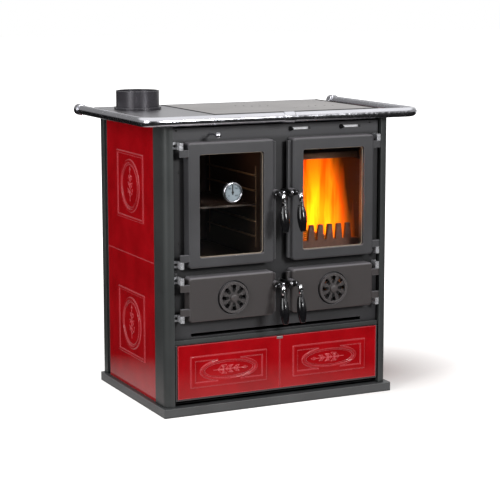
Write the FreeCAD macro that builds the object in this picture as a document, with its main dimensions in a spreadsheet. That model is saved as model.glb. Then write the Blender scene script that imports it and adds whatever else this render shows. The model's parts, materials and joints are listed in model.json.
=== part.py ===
import FreeCAD, Part
import math
import os
import Sketcher

# A free-standing cast iron range cooker that burns wood.
# Millimetres.  +Z is up, the front faces -Y and +X is the viewer's right.
# The origin is the middle of the plinth's underside, on the floor.

# ---------------------------------------------------------------- sizes
SIZES = {
    # plinth and base
    "plinth_width": (750, "plinth across the front"),
    "plinth_depth": (519, "plinth from front to back"),
    "plinth_height": (26, "plinth above the floor"),
    "plinth_wall": (30, "width of the plinth's rim"),
    "plinth_floor": (3, "sheet that closes the plinth below"),
    "plinth_round": (4, "radius of the plinth's upright edges"),
    "base_sheet": (3, "thickness of the base plate"),
    # corner posts
    "body_width": (730, "over the outer faces of the posts"),
    "post_front": (247, "post front face, ahead of the middle"),
    "post_rear": (253.5, "post rear face, behind the middle"),
    "post_face": (28, "width of a post seen from the front"),
    "post_leg": (11, "thickness of a post's side leg"),
    "post_side_front": (80, "depth of a front post's side leg"),
    "post_side_rear": (46.5, "depth of a rear post's side leg"),
    "post_groove": (18, "width of the groove beside the side tiles"),
    "post_groove_deep": (7, "depth of that groove"),
    "post_round": (22, "radius of a front post's outer corner"),
    "post_round_rear": (3, "radius of a rear post's outer corner"),
    "rear_leg": (8.5, "thickness of a rear post's rear leg"),
    "sheet": (2, "thickness of the side and back sheets"),
    # side tiles
    "tile_thick": (8, "thickness of a glazed tile"),
    "tile_gap": (0.3, "joint round a tile"),
    "tile_seam": (436, "height of the joint between the side tiles"),
    "tile_top_gap": (2, "gap between the upper tile and the worktop"),
    "tile_relief_y": (20, "middle of the tile's relief, behind the middle"),
    "relief_low": (226, "height of the lower tile's relief"),
    "relief_high": (641, "height of the upper tile's relief"),
    "relief_width": (207, "width of the framing bead"),
    "relief_height": (200, "height of the framing bead"),
    "bead_width": (8, "width of the framing bead itself"),
    "bead_rise": (3, "height of the beads above the tile"),
    "bead_edge": (2, "rounding of the beads"),
    "oval_width": (149, "width of the oval moulding"),
    "oval_height": (157, "height of the oval moulding"),
    "oval_band": (9, "width of the oval moulding's band"),
    # worktop
    "worktop_top": (858, "height of the cooking surface"),
    "worktop_thick": (16, "thickness of the worktop's edge"),
    "worktop_width": (769, "worktop across the front"),
    "worktop_front": (252, "worktop's front edge, ahead of the middle"),
    "worktop_rear": (258, "worktop's rear edge, behind the middle"),
    "worktop_round": (6, "radius of the worktop's corners"),
    "hotplate_left": (168, "hotplate's left edge, left of the middle"),
    "hotplate_right": (372, "hotplate's right edge, right of the middle"),
    "hotplate_front": (163, "hotplate's front edge, ahead of the middle"),
    "hotplate_rear": (235, "hotplate's rear edge, behind the middle"),
    "hotplate_thick": (8, "thickness of the hotplate"),
    "hotplate_ledge": (12, "width of the ledge that carries the hotplate"),
    "seat_gap": (0.3, "clearance round a loose plate in its seat"),
    "lid_x": (158, "middle of the hotplate lid, to the right"),
    "lid_y": (45, "middle of the hotplate lid, behind the middle"),
    "lid_radius": (120, "radius of the hotplate lid"),
    "lid_ledge": (7, "width of the ledge that carries the lid"),
    "lid_thick": (4, "thickness of the lid's rim"),
    "lid_drop": (9, "depth of the lid's plug below its top"),
    "lid_lift_hole": (7, "radius of the lid's lifter socket"),
    "lid_lift_at": (84, "lifter socket, ahead of the lid's middle"),
    # flue collar
    "flue_x": (293, "flue collar, left of the middle"),
    "flue_y": (124, "flue collar, behind the middle"),
    "flue_radius": (65, "outer radius of the flue collar"),
    "flue_wall": (4, "wall of the flue collar"),
    "flue_top": (915, "height of the collar's rim"),
    "flue_flange": (71, "radius of the collar's flange"),
    "flue_flange_thick": (8, "thickness of the collar's flange"),
    "flue_spigot": (60, "radius of the hole for the collar"),
    # towel rail
    "rail_radius": (14, "outer radius of the rail's tube"),
    "rail_wall": (1.5, "wall of the rail's tube"),
    "rail_z": (854.3, "height of the rail's centre line"),
    "rail_out": (51.5, "rail's side legs, out from the worktop's edge"),
    "rail_ahead": (38, "rail's front leg, ahead of the worktop's edge"),
    "rail_short": (13, "rail's rear ends, short of the worktop's rear edge"),
    "rail_bend": (41, "bend radius of the rail's centre line"),
    "collar_radius": (17, "radius of the rail's end collars"),
    "collar_length": (24, "length of the rail's end collars"),
    "collar_cap": (2, "cap that closes an end collar"),
    "rail_fit": (0.05, "clearance of the fittings on the rail"),
    "foot_long": (16, "length of a rail foot along the rail"),
    "foot_high": (12, "height of a rail foot"),
    "stud_in": (22.5, "rail studs, in from the worktop's side edges"),
    "stud_radius": (7, "radius of a rail stud"),
    "clamp_x": (5, "middle of the rail's clamp, to the right"),
    "clamp_long": (34, "length of the rail's clamp"),
    "clamp_radius": (16, "radius of the rail's clamp"),
    # front casting
    "front_plane": (232, "front of the facade, ahead of the middle"),
    "front_back": (218, "rear of the facade, ahead of the middle"),
    "front_raise": (6, "how far the facade's panel stands out of its flange"),
    "front_gap": (3, "gap between the facade's panel and a post"),
    "flange_gap": (2, "gap between the facade's flange and a side sheet"),
    "front_low": (220, "lower edge of the facade"),
    "front_high": (830, "upper edge of the facade"),
    "opening_side": (20, "how far a door laps the sides of its doorway"),
    "opening_lap": (20, "how far an upper door laps its doorway"),
    "opening_lap_low": (8, "how far a lower door laps its doorway"),
    "long_slot_low": (226, "lower edge of the long air slot"),
    "long_slot_high": (236, "upper edge of the long air slot"),
    "long_slot_half": (280, "half the length of the long air slot"),
    "slot_z": (815, "height of the short air slots"),
    "slot_high": (8, "height of a short air slot"),
    "slot_long": (72, "length of a short air slot"),
    "slot_one": (34, "left end of the first short slot"),
    "slot_inset": (98, "left end of the second short slot, in from a door's hinge edge"),
    # bar above the drawer
    "bar_low": (207, "lower edge of the bar above the drawer"),
    "bar_front": (240, "front of that bar, ahead of the middle"),
    "bar_back": (212, "rear of that bar, ahead of the middle"),
    # doors
    "door_in": (30, "free edge of a door, from the middle"),
    "door_side": (34, "facade's edge beyond a door's hinge edge"),
    "door_front": (271, "front face of the doors, ahead of the middle"),
    "door_gap": (1, "clearance between a door and the facade"),
    "door_plate": (12, "thickness of a door's front plate"),
    "door_wall": (10, "thickness of a door's rim"),
    "door_edge": (6, "rounding of a door's front edge"),
    "door_round": (10, "radius of a door's corners"),
    "upper_low": (432, "lower edge of the upper doors"),
    "upper_high": (791, "upper edge of the upper doors"),
    "lower_low": (276, "lower edge of the lower doors"),
    "lower_high": (406, "upper edge of the lower doors"),
    "frame_side": (33, "width of an upper door's frame beside its window"),
    "frame_low": (29, "height of that frame below the window"),
    "frame_high": (34, "height of that frame above the window"),
    "window_round": (7, "radius of a window's corners"),
    "lip_reach": (10, "how far a door's lip stands out of its free edge"),
    "lip_front": (258, "front of that lip, ahead of the middle"),
    "lip_back": (246, "rear of that lip, ahead of the middle"),
    "lip_short": (8, "how far the lip stops short of the door's ends"),
    "glass_lap": (8, "how far the glass laps the window"),
    "glass_thick": (4, "thickness of the glass"),
    "clip_long": (26, "length of a glass clip"),
    "clip_wide": (12, "width of a glass clip"),
    "clip_thick": (3, "thickness of a glass clip"),
    "clip_lap": (5, "how far a clip laps the glass"),
    "clip_at": (24, "clips, in from the window's lower and upper edges"),
    "rope": (8, "width of the sealing rope"),
    # hinges
    "hinge_out": (19.3, "hinge axis, out from the door's hinge edge"),
    "hinge_y": (262.5, "hinge axis, ahead of the middle"),
    "barrel_radius": (6.3, "radius of the hinge barrels and lugs"),
    "barrel_high": (20, "height of a hinge barrel"),
    "pin_radius": (3, "radius of a hinge pin"),
    "pin_fit": (0.05, "running clearance of pins and spindles"),
    "knuckle_gap": (0.3, "gap between a lug and its barrel"),
    "arm_wide": (7, "width of a hinge bracket's arm"),
    "leaf_thick": (3, "thickness of a hinge bracket's leaf"),
    "leaf_reach": (13, "how far that leaf runs out from the hinge axis"),
    "leaf_hole": (2.2, "radius of the screw hole in that leaf"),
    # latches
    "latch_x": (28, "latch pivot, from the middle"),
    "latch_high": (638, "height of the upper latch pivots"),
    "latch_low": (370, "height of the lower latch pivots"),
    "boss_radius": (8, "radius of a latch boss"),
    "boss_front": (284, "front of a latch boss, ahead of the middle"),
    "spindle_radius": (4, "radius of a latch spindle"),
    "spindle_long": (20, "length of a latch spindle"),
    "hub_radius": (6.5, "radius of a latch hub"),
    "hub_long": (14, "length of a latch hub"),
    "latch_gap": (0.3, "gap between a latch hub and its boss"),
    "neck_radius": (4.5, "radius of a latch neck"),
    "knuckle_wide": (7.5, "half width of a latch knuckle"),
    "knuckle_high": (15.5, "half height of a latch knuckle"),
    "knuckle_front": (325, "middle of a latch knuckle, ahead of the middle"),
    "knuckle_drop": (14, "knuckle below its pivot"),
    "tongue_tip": (6, "tip of a latch tongue, from the middle"),
    "tongue_heel": (38, "heel of a latch tongue, from the middle"),
    "tongue_high": (7, "height of a latch tongue"),
    "tongue_thick": (9, "thickness of a latch tongue"),
    "tongue_fall": (4, "fall of a tongue from heel to tip"),
    "keeper_x": (13.5, "keeper stud, from the middle"),
    "keeper_radius": (4.5, "radius of a keeper stud"),
    "keeper_front": (298, "front of a keeper stud, ahead of the middle"),
    "keeper_gap": (0.4, "gap between a keeper and its tongue"),
    "grip_top_y": (324, "top of a grip's axis, ahead of the middle"),
    "grip_drop": (34, "top of a grip below its pivot"),
    "grip_long": (78, "length of a grip"),
    "grip_tilt": (11, "lean of a grip, in degrees"),
    "grip_end": (8, "radius of a grip's top"),
    "grip_belly": (14, "largest radius of a grip"),
    "grip_tip": (7, "radius of a grip's lower end"),
    "tang_wide": (5, "width of the tang let into a grip"),
    "tang_deep": (5, "depth of the tang's groove"),
    "tang_long": (22, "length of the tang along the grip"),
    "grip_round": (3, "rounding of a grip's ends"),
    "tang_fit": (0.2, "clearance of the tang in its groove"),
    # air registers on the lower doors
    "register_x": (163, "middle of an air register, from the middle"),
    "register_z": (340, "height of the air registers"),
    "register_radius": (45, "radius of a register disc"),
    "register_thick": (5, "thickness of a register disc"),
    "register_rim": (6, "width of a register's raised rim"),
    "register_rise": (2.5, "how far rim and ribs stand out of the disc"),
    "register_in": (25.5, "inner end of a register slot"),
    "register_out": (38, "outer end of a register slot"),
    "register_slot": (10, "width of a register slot"),
    "register_count": (8, "number of register slots"),
    "register_knob": (12, "radius of a register's knob"),
    "register_knob_rise": (9, "height of that knob above the disc"),
    "register_gap": (0.3, "gap between a register and its door"),
    "ring_radius": (49.5, "outer radius of the groove round a register"),
    "ring_deep": (4, "depth of that groove"),
    "slot_lip": (2, "width of the raised lip beside a register slot"),
    # air sliders
    "shutter_long": (80, "length of an air shutter"),
    "shutter_high": (16, "height of an air shutter"),
    "shutter_thick": (3, "thickness of an air shutter"),
    "shutter_neck": (8, "width of the neck through the slot"),
    "shutter_inset": (3, "neck from the slot's end when shut"),
    "slider_knob": (7, "radius of a slider knob"),
    "slider_tip": (2.3, "radius of a slider knob's tip"),
    "slider_rise": (16, "how far a slider knob stands out"),
    "slide_fit": (0.3, "clearance of sliding plates"),
    # damper
    "damper_x": (217, "damper rod, left of the middle"),
    "damper_z": (811, "height of the damper rod"),
    "damper_rod": (3, "radius of the damper rod"),
    "damper_ball": (9, "radius of the damper's ball"),
    "damper_front": (290, "middle of the ball, ahead of the middle"),
    "damper_lug": (92, "front of the damper's lug, ahead of the middle"),
    "damper_plate": (3, "thickness of the damper plate"),
    "damper_wide": (66, "width of the damper plate"),
    "damper_long": (75, "length of the damper plate"),
    "lug_thick": (6, "thickness of the damper's lug"),
    "lug_half": (5, "half width of the damper's lug, and its height above the rod"),
    # oven
    "oven_low": (432, "oven's underside"),
    "oven_high": (790, "oven's top"),
    "oven_rear": (170, "rear of oven and firebox, behind the middle"),
    "oven_wall": (4, "thickness of the oven's walls"),
    "rung_count": (5, "rungs of an oven ladder"),
    "rung_first": (496, "height of the lowest rung"),
    "rung_pitch": (45, "distance between rungs"),
    "rung_size": (4, "thickness of a rung"),
    "rung_long": (330, "length of a rung"),
    "rung_reach": (8, "how far a rung stands out of the oven's wall"),
    "ladder_wire": (2, "thickness of a ladder's uprights"),
    "ladder_high": (30, "how far the uprights pass the rungs"),
    "ladder_front": (190, "front of a ladder, ahead of the middle"),
    "shelf_thick": (1.5, "thickness of the oven tray"),
    "shelf_high": (6, "height of the oven tray"),
    "shelf_front": (190, "front of the oven tray, ahead of the middle"),
    "shelf_deep": (320, "oven tray from front to back"),
    "shelf_rung": (2, "number of rungs below the tray"),
    # firebox
    "fire_in": (10, "firebox's left side, left of its doorway"),
    "fire_out": (36, "firebox's right side, right of its doorway"),
    "fire_floor": (280, "firebox's underside"),
    "fire_top": (800, "upper edge of the firebox"),
    "grate_z": (440, "height of the ledge that carries the grate"),
    "ledge_thick": (8, "thickness of that ledge"),
    "ledge_wide": (50, "width of that ledge"),
    "brick": (25, "thickness of the fire bricks"),
    "brick_top": (712, "upper edge of the fire bricks"),
    "baffle_thick": (18, "thickness of the smoke baffle"),
    "baffle_front": (150, "front of the smoke baffle, ahead of the middle"),
    "grate_thick": (12, "thickness of the grate"),
    "grate_front": (185, "front of the grate, ahead of the middle"),
    "grate_rear": (120, "rear of the grate, behind the middle"),
    "grate_slots": (11, "number of slots in the grate"),
    "grate_slot": (9, "width of a slot in the grate"),
    "grate_border": (14, "solid border of the grate"),
    "guard_front": (200, "front of the log guard, ahead of the middle"),
    "guard_thick": (10, "thickness of the log guard"),
    "guard_bar": (34, "height of the log guard's bar"),
    "tooth_high": (46, "height of a tooth above the bar"),
    "tooth_foot": (23, "width of a tooth at its foot"),
    "tooth_tip": (14, "width of a tooth at its tip"),
    "tooth_pitch": (31, "distance between the teeth"),
    "tooth_count": (5, "number of teeth"),
    "tooth_root": (2, "how far a tooth's foot runs into the bar"),
    "tooth_in": (59.7, "middle of the first tooth, in from the log guard's left end"),
    "pan_side": (16, "room between the ash pan and its doorway's sides"),
    "pan_front": (195, "ash pan's front, ahead of the middle"),
    "pan_rear": (120, "ash pan's rear, behind the middle"),
    "pan_high": (70, "height of the ash pan"),
    "pan_wall": (2, "thickness of the ash pan"),
    "pan_tab": (12, "depth of the ash pan's finger tab"),
    "pan_tab_half": (25, "half width of that tab"),
    # wood drawer
    "drawer_gap": (4, "gap between the drawer front and a post"),
    "drawer_low": (42, "lower edge of the drawer front"),
    "drawer_high": (205.5, "upper edge of the drawer front"),
    "drawer_face": (246, "face of the drawer tiles, ahead of the middle"),
    "drawer_rim": (5.5, "width of the rim round the drawer tiles"),
    "drawer_rim_back": (3, "rim's face behind the face of the tiles"),
    "drawer_back": (226, "rear of the drawer front, ahead of the middle"),
    "drawer_seam": (1.4, "joint between the drawer tiles"),
    "panel_in": (44, "inner edge of a drawer tile's moulding"),
    "panel_side": (45, "moulding's outer edge, in from the drawer front's edge"),
    "panel_low": (78, "lower edge of that moulding"),
    "panel_high": (170, "upper edge of that moulding"),
    "panel_rise": (3.5, "height of that moulding above the tile"),
    "panel_edge": (2.5, "rounding of that moulding"),
    "panel_bead": (15, "width of that moulding"),
    "small_oval_width": (184, "width of a drawer tile's oval"),
    "small_oval_height": (68, "height of a drawer tile's oval"),
    "small_band": (8, "width of that oval's band"),
    "box_inset": (15, "drawer box's side, in from the drawer front's edge"),
    "box_low": (50, "underside of the drawer box"),
    "box_high": (190, "upper edge of the drawer box"),
    "box_rear": (235, "rear of the drawer box, behind the middle"),
    "box_wall": (2, "thickness of the drawer box"),
    "runner_low": (100, "underside of a drawer runner"),
    "runner_high": (112, "top of a drawer runner"),
    "runner_gap": (2, "gap between a drawer runner and the box's side"),
    "slide_wing": (14, "width of the drawer's slide"),
    "slide_wing_thick": (4, "thickness of the drawer's slide"),
    # thermometer
    "dial_x": (160, "thermometer, left of the middle"),
    "dial_z": (643, "height of the thermometer"),
    "dial_radius": (29, "radius of the thermometer's case"),
    "dial_thick": (7, "depth of the thermometer's case"),
    "dial_rim": (3, "width of the case's rim"),
    "dial_deep": (3.5, "depth of the dial below the rim"),
    "dial_stem": (4, "radius of the thermometer's stem"),
    "dial_stem_long": (26, "length of the stem"),
    "needle_long": (21, "length of the needle"),
    "needle_wide": (3, "width of the needle"),
    "needle_thick": (0.8, "thickness of the needle"),
    "needle_hub": (3.5, "radius of the needle's hub"),
    "needle_pin": (1, "radius of the needle's arbor"),
    "needle_pin_long": (2.5, "length of the needle's arbor"),
}

doc = FreeCAD.newDocument("range_cooker")
sheet = doc.addObject("Spreadsheet::Sheet", "Sizes")
for row, (alias, (value, meaning)) in enumerate(SIZES.items(), start=1):
    sheet.set(f"A{row}", meaning)
    sheet.set(f"B{row}", str(value))
    sheet.setAlias(f"B{row}", alias)
doc.recompute()


class Size:
    """A length that knows its formula in the sheet and its present value."""

    def __init__(self, formula, value):
        self.formula = formula
        self.value = value

    def _join(self, sign, other, value):
        return Size(f"({self.formula} {sign} {as_size(other).formula})", value)

    def __add__(self, other):
        return self._join("+", other, self.value + as_size(other).value)

    def __sub__(self, other):
        return self._join("-", other, self.value - as_size(other).value)

    def __mul__(self, other):
        return self._join("*", other, self.value * as_size(other).value)

    def __truediv__(self, other):
        return self._join("/", other, self.value / as_size(other).value)

    def __neg__(self):
        return Size(f"(0 - {self.formula})", -self.value)

    def __float__(self):
        return float(self.value)


def as_size(number):
    return number if isinstance(number, Size) else Size(str(number), number)


class Names:
    """The sheet's sizes as attributes, each one a Size."""


s = Names()
for alias, (value, meaning) in SIZES.items():
    setattr(s, alias, Size(f"Sizes.{alias}", value))
zero = as_size(0)

parts = []


def keep(piece, label):
    """Name a finished sub-part and put it on the list of what is written out."""
    piece.Label = label
    parts.append(piece)
    return piece


def tie(thing, **sizes):
    for name, size in sizes.items():
        thing.setExpression(name.replace("__", "."), as_size(size).formula)


def put(thing, x=0, y=0, z=0):
    tie(thing, Placement__Base__x=x, Placement__Base__y=y, Placement__Base__z=z)
    return thing


# ---------------------------------------------------------------- primitives
TURN_TO_Y = FreeCAD.Rotation(FreeCAD.Vector(1, 0, 0), -90)
TURN_TO_MINUS_Y = FreeCAD.Rotation(FreeCAD.Vector(1, 0, 0), 90)
TURN_TO_X = FreeCAD.Rotation(FreeCAD.Vector(0, 1, 0), 90)


def box(name, x, y, z):
    """A block between the given pairs of planes."""
    block = doc.addObject("Part::Box", name)
    tie(block, Length=as_size(x[1]) - x[0], Width=as_size(y[1]) - y[0], Height=as_size(z[1]) - z[0])
    return put(block, x[0], y[0], z[0])


def cylinder(name, start, radius, length, turn=None):
    """A cylinder from its start point, along +Z or along the turned axis."""
    rod = doc.addObject("Part::Cylinder", name)
    tie(rod, Radius=radius, Height=length)
    if turn:
        rod.Placement = FreeCAD.Placement(FreeCAD.Vector(0, 0, 0), turn)
    return put(rod, *start)


def fuse(name, *pieces):
    whole = doc.addObject("Part::MultiFuse", name)
    whole.Shapes = list(pieces)
    return whole


def cut(name, base, tool):
    rest = doc.addObject("Part::Cut", name)
    rest.Base = base
    rest.Tool = tool
    return rest


def group(name, pieces):
    """Several equal solids kept together as one sub-part."""
    bundle = doc.addObject("Part::Compound", name)
    bundle.Links = list(pieces)
    return bundle


# ---------------------------------------------------------------- sketched bodies
def new_body(name):
    return doc.addObject("PartDesign::Body", name)


def plane_of(body, role):
    return [plane for plane in body.Origin.OriginFeatures if plane.Role == role][0]


def sketch(body, role, level, shift=(0, 0)):
    """An empty sketch parallel to an origin plane, moved along its normal.

    XY_Plane looks along +Z, XZ_Plane along -Y and YZ_Plane along +X.  The shift
    moves the sketch's own origin within its plane.
    """
    drawing = body.newObject("Sketcher::SketchObject", body.Name + "_sketch")
    drawing.AttachmentSupport = [(plane_of(body, role), "")]
    drawing.MapMode = "FlatFace"
    tie(drawing, AttachmentOffset__Base__x=shift[0], AttachmentOffset__Base__y=shift[1],
        AttachmentOffset__Base__z=level)
    return drawing


def fix_point(drawing, element, end, point):
    """Hold one point of the sketch at its two distances from the origin."""
    for kind, size in zip(("DistanceX", "DistanceY"), point):
        size = as_size(size)
        number = drawing.addConstraint(
            Sketcher.Constraint(kind, -1, 1, element, end, size.value))
        drawing.setExpression(f"Constraints[{number}]", size.formula)


def outline(drawing, *points):
    """A closed outline of straight lines through the points."""
    places = [FreeCAD.Vector(float(as_size(a)), float(as_size(b)), 0) for a, b in points]
    first = drawing.GeometryCount
    count = len(points)
    for index in range(count):
        ends = (places[index], places[(index + 1) % count])
        drawing.addGeometry(Part.LineSegment(*ends), False)
    for index in range(count):
        following = first + (index + 1) % count
        drawing.addConstraint(Sketcher.Constraint("Coincident", first + index, 2, following, 1))
        fix_point(drawing, first + index, 1, points[index])


def rectangle(drawing, across, up):
    outline(drawing, (across[0], up[0]), (across[1], up[0]), (across[1], up[1]), (across[0], up[1]))


def circle(drawing, middle, radius):
    spot = FreeCAD.Vector(float(as_size(middle[0])), float(as_size(middle[1])), 0)
    number = drawing.GeometryCount
    drawing.addGeometry(Part.Circle(spot, FreeCAD.Vector(0, 0, 1), float(radius)), False)
    fix_point(drawing, number, 3, middle)
    held = drawing.addConstraint(Sketcher.Constraint("Radius", number, float(radius)))
    drawing.setExpression(f"Constraints[{held}]", radius.formula)


def ellipse(drawing, middle, across, up):
    """An ellipse by its middle, its half width and its half height."""
    spot = FreeCAD.Vector(float(as_size(middle[0])), float(as_size(middle[1])), 0)
    number = drawing.GeometryCount
    long_one, short_one = (across, up) if float(across) > float(up) else (up, across)
    along = FreeCAD.Vector(1, 0, 0) if long_one is across else FreeCAD.Vector(0, 1, 0)
    beside = FreeCAD.Vector(-along.y, along.x, 0)
    major = spot + along * float(long_one)
    minor = spot + beside * float(short_one)
    drawing.addGeometry(Part.Ellipse(major, minor, spot), False)
    drawing.exposeInternalGeometry(number)
    fix_point(drawing, number, 3, middle)
    level = "Horizontal" if long_one is across else "Vertical"
    drawing.addConstraint(Sketcher.Constraint(level, number + 1))
    for line, half in ((number + 1, long_one), (number + 2, short_one)):
        held = drawing.addConstraint(Sketcher.Constraint("Distance", line, 2 * float(half)))
        drawing.setExpression(f"Constraints[{held}]", (half * 2).formula)


def feature(body, kind, drawing, **settings):
    made = body.newObject("PartDesign::" + kind, body.Name + "_" + kind.lower())
    made.Profile = drawing
    for name, value in settings.items():
        setattr(made, name, value)
    return made


def pad(body, drawing, length, reverse=False):
    made = feature(body, "Pad", drawing, Reversed=reverse)
    tie(made, Length=length)
    return made


def pocket(body, drawing, depth, reverse=False):
    """Cut against the sketch's normal, or along it when reversed."""
    made = feature(body, "Pocket", drawing, Reversed=reverse)
    tie(made, Length=depth)
    return made


def edges_where(shape, test):
    return [f"Edge{number}" for number, edge in enumerate(shape.Edges, start=1) if test(edge)]


def near(first, second):
    return abs(first - float(second)) < 0.01


def runs_along(edge, axis):
    """True for a straight edge along the axis 0, 1 or 2."""
    if len(edge.Vertexes) != 2 or edge.Curve.TypeId != "Part::GeomLine":
        return False
    step = edge.Vertexes[1].Point - edge.Vertexes[0].Point
    return all(abs(step[other]) < 0.001 for other in range(3) if other != axis)


def dress(body, kind, size, test):
    """A Fillet or Chamfer on the edges of the body that pass the test."""
    doc.recompute()
    base = body.Tip
    made = body.newObject("PartDesign::" + kind, body.Name + "_" + kind.lower())
    made.Base = (base, edges_where(base.Shape, test))
    tie(made, **{"Radius" if kind == "Fillet" else "Size": size})
    body.Tip = made
    doc.recompute()
    return made


def repeat_round(body, source, drawing, count):
    """Repeat a feature a full turn round the axis through its sketch's origin."""
    pattern = body.newObject("PartDesign::PolarPattern", body.Name + "_pattern")
    pattern.Originals = [source]
    pattern.Axis = (drawing, ["N_Axis"])
    pattern.Angle = 360
    tie(pattern, Occurrences=count)
    body.Tip = pattern
    return pattern


# ---------------------------------------------------------------- shared places
post_top = s.worktop_top - s.worktop_thick
sheet_in = s.body_width / 2 - s.post_leg - s.sheet
sheet_out = s.body_width / 2 - s.post_leg
facade_flange_front = s.front_plane - s.front_raise
front_half = s.body_width / 2 - s.post_face - s.front_gap
front_flange = sheet_in - s.flange_gap
door_out = front_half - s.door_side
second_slot = door_out - s.slot_inset
opening_in = s.door_in + s.opening_side
opening_out = door_out - s.opening_side
window_in = s.door_in + s.frame_side
window_out = door_out - s.frame_side
window_low = s.upper_low + s.frame_low
window_high = s.upper_high - s.frame_high
lip_in = s.door_in - s.lip_reach
hinge_x = door_out + s.hinge_out
fire_left = opening_in - s.fire_in
fire_right = opening_out + s.fire_out
pan_left = opening_in + s.pan_side
pan_right = opening_out - s.pan_side
drawer_half = s.body_width / 2 - s.post_face - s.drawer_gap
box_half = drawer_half - s.box_inset
runner_in = box_half + s.runner_gap
panel_out = drawer_half - s.panel_side
rail_half = s.worktop_width / 2 + s.rail_out
rail_front = s.worktop_front + s.rail_ahead
rail_rear = s.worktop_rear - s.rail_short
stud_x = s.worktop_width / 2 - s.stud_in
side_front = s.post_front - s.post_side_front
side_rear = s.post_rear - s.post_side_rear
oven_left = -opening_out - s.oven_wall
oven_right = -opening_in + s.oven_wall
door_depth = s.door_front - s.front_plane - s.door_gap
plate_back = s.door_front - s.door_plate
SIDES = (("left", -1), ("right", 1))


def across(side, near_middle, far):
    """The pair of x planes of something that lies on one side of the middle."""
    pair = [as_size(near_middle) * side, as_size(far) * side]
    return sorted(pair, key=float)


# ---------------------------------------------------------------- plinth and base
def make_plinth():
    """A low steel tray with a broad rim, closed below and open above."""
    body = new_body("plinth")
    wide, deep = s.plinth_width / 2, s.plinth_depth / 2
    drawing = sketch(body, "XY_Plane", zero)
    rectangle(drawing, (-wide, wide), (-deep, deep))
    pad(body, drawing, s.plinth_height)
    dress(body, "Fillet", s.plinth_round, lambda edge: runs_along(edge, 2))
    hollow = sketch(body, "XY_Plane", s.plinth_height)
    rectangle(hollow, (-wide + s.plinth_wall, wide - s.plinth_wall),
              (-deep + s.plinth_wall, deep - s.plinth_wall))
    pocket(body, hollow, s.plinth_height - s.plinth_floor)
    return keep(body, "plinth")


def make_base_plate():
    plate = box("base_plate", (-sheet_in, sheet_in), (-s.bar_back, s.post_rear - s.rear_leg - s.sheet),
                (s.plinth_height, s.plinth_height + s.base_sheet))
    return keep(plate, "base_plate")


def make_front_post(name, side):
    """An angle-shaped casting with a rounded outer corner."""
    body = new_body(name)
    outer = s.body_width / 2
    drawing = sketch(body, "XY_Plane", s.plinth_height)
    outline(drawing,
            ((outer - s.post_face) * side, -s.post_front),
            (outer * side, -s.post_front),
            (outer * side, -side_front),
            ((outer - s.post_leg) * side, -side_front),
            ((outer - s.post_leg) * side, -facade_flange_front),
            ((outer - s.post_face) * side, -facade_flange_front))
    pad(body, drawing, post_top - s.plinth_height)
    corner = (float(outer) * side, -float(s.post_front))
    dress(body, "Fillet", s.post_round, lambda edge: runs_along(edge, 2)
          and near(edge.Vertexes[0].X, corner[0]) and near(edge.Vertexes[0].Y, corner[1]))
    return keep(body, name)


def make_rear_post(name, side):
    """A rear corner with a groove between its face and the side tiles."""
    body = new_body(name)
    outer = s.body_width / 2
    drawing = sketch(body, "XY_Plane", s.plinth_height)
    outline(drawing,
            (outer * side, side_rear + s.post_groove),
            (outer * side, s.post_rear),
            ((outer - s.post_face) * side, s.post_rear),
            ((outer - s.post_face) * side, s.post_rear - s.rear_leg),
            ((outer - s.post_leg) * side, s.post_rear - s.rear_leg),
            ((outer - s.post_leg) * side, side_rear),
            ((outer - s.post_groove_deep) * side, side_rear),
            ((outer - s.post_groove_deep) * side, side_rear + s.post_groove))
    pad(body, drawing, post_top - s.plinth_height)
    corner = (float(outer) * side, float(s.post_rear))
    dress(body, "Fillet", s.post_round_rear, lambda edge: runs_along(edge, 2)
          and near(edge.Vertexes[0].X, corner[0]) and near(edge.Vertexes[0].Y, corner[1]))
    return keep(body, name)


def make_side_sheets():
    """The two steel sheets that back the tiles, each with a drawer runner welded on."""
    rear = s.post_rear - s.rear_leg - s.sheet
    sheets = []
    for name, side in SIDES:
        plain = box(f"side_plate_{name}", across(side, sheet_in, sheet_out),
                    (-facade_flange_front, rear), (s.plinth_height, post_top))
        runner = box(f"runner_{name}", across(side, runner_in, sheet_in + s.sheet),
                     (-s.bar_back, rear), (s.runner_low, s.runner_high))
        sheets.append(fuse(f"side_sheet_{name}", plain, runner))
    return keep(group("side_sheets", sheets), "side_sheets")


def make_back_panel():
    inner = s.body_width / 2 - s.post_leg
    panel = box("back_panel", (-inner, inner),
                (s.post_rear - s.rear_leg - s.sheet, s.post_rear - s.rear_leg),
                (s.plinth_height, post_top))
    return keep(panel, "back_panel")


# ---------------------------------------------------------------- side tiles
def make_side_tile(name, side, low, high, relief_z):
    """A glazed tile with a framing bead and an oval moulding."""
    body = new_body(name)
    back = sheet_out * side
    reverse = side < 0
    slab = sketch(body, "YZ_Plane", back)
    rectangle(slab, (-side_front + s.tile_gap, side_rear - s.tile_gap), (low, high))
    pad(body, slab, s.tile_thick, reverse)
    half_wide, half_high = s.relief_width / 2, s.relief_height / 2
    bead = sketch(body, "YZ_Plane", back)
    for inset in (zero, s.bead_width):
        rectangle(bead, (s.tile_relief_y - half_wide + inset, s.tile_relief_y + half_wide - inset),
                  (relief_z - half_high + inset, relief_z + half_high - inset))
    pad(body, bead, s.tile_thick + s.bead_rise, reverse)
    oval = sketch(body, "YZ_Plane", back)
    for inset in (zero, s.oval_band):
        ellipse(oval, (s.tile_relief_y, relief_z), s.oval_width / 2 - inset, s.oval_height / 2 - inset)
    pad(body, oval, s.tile_thick + s.bead_rise, reverse)
    face = float(back) + side * float(s.tile_thick + s.bead_rise)
    dress(body, "Fillet", s.bead_edge,
          lambda edge: near(edge.BoundBox.XMin, face) and near(edge.BoundBox.XMax, face))
    return keep(body, name)


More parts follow.
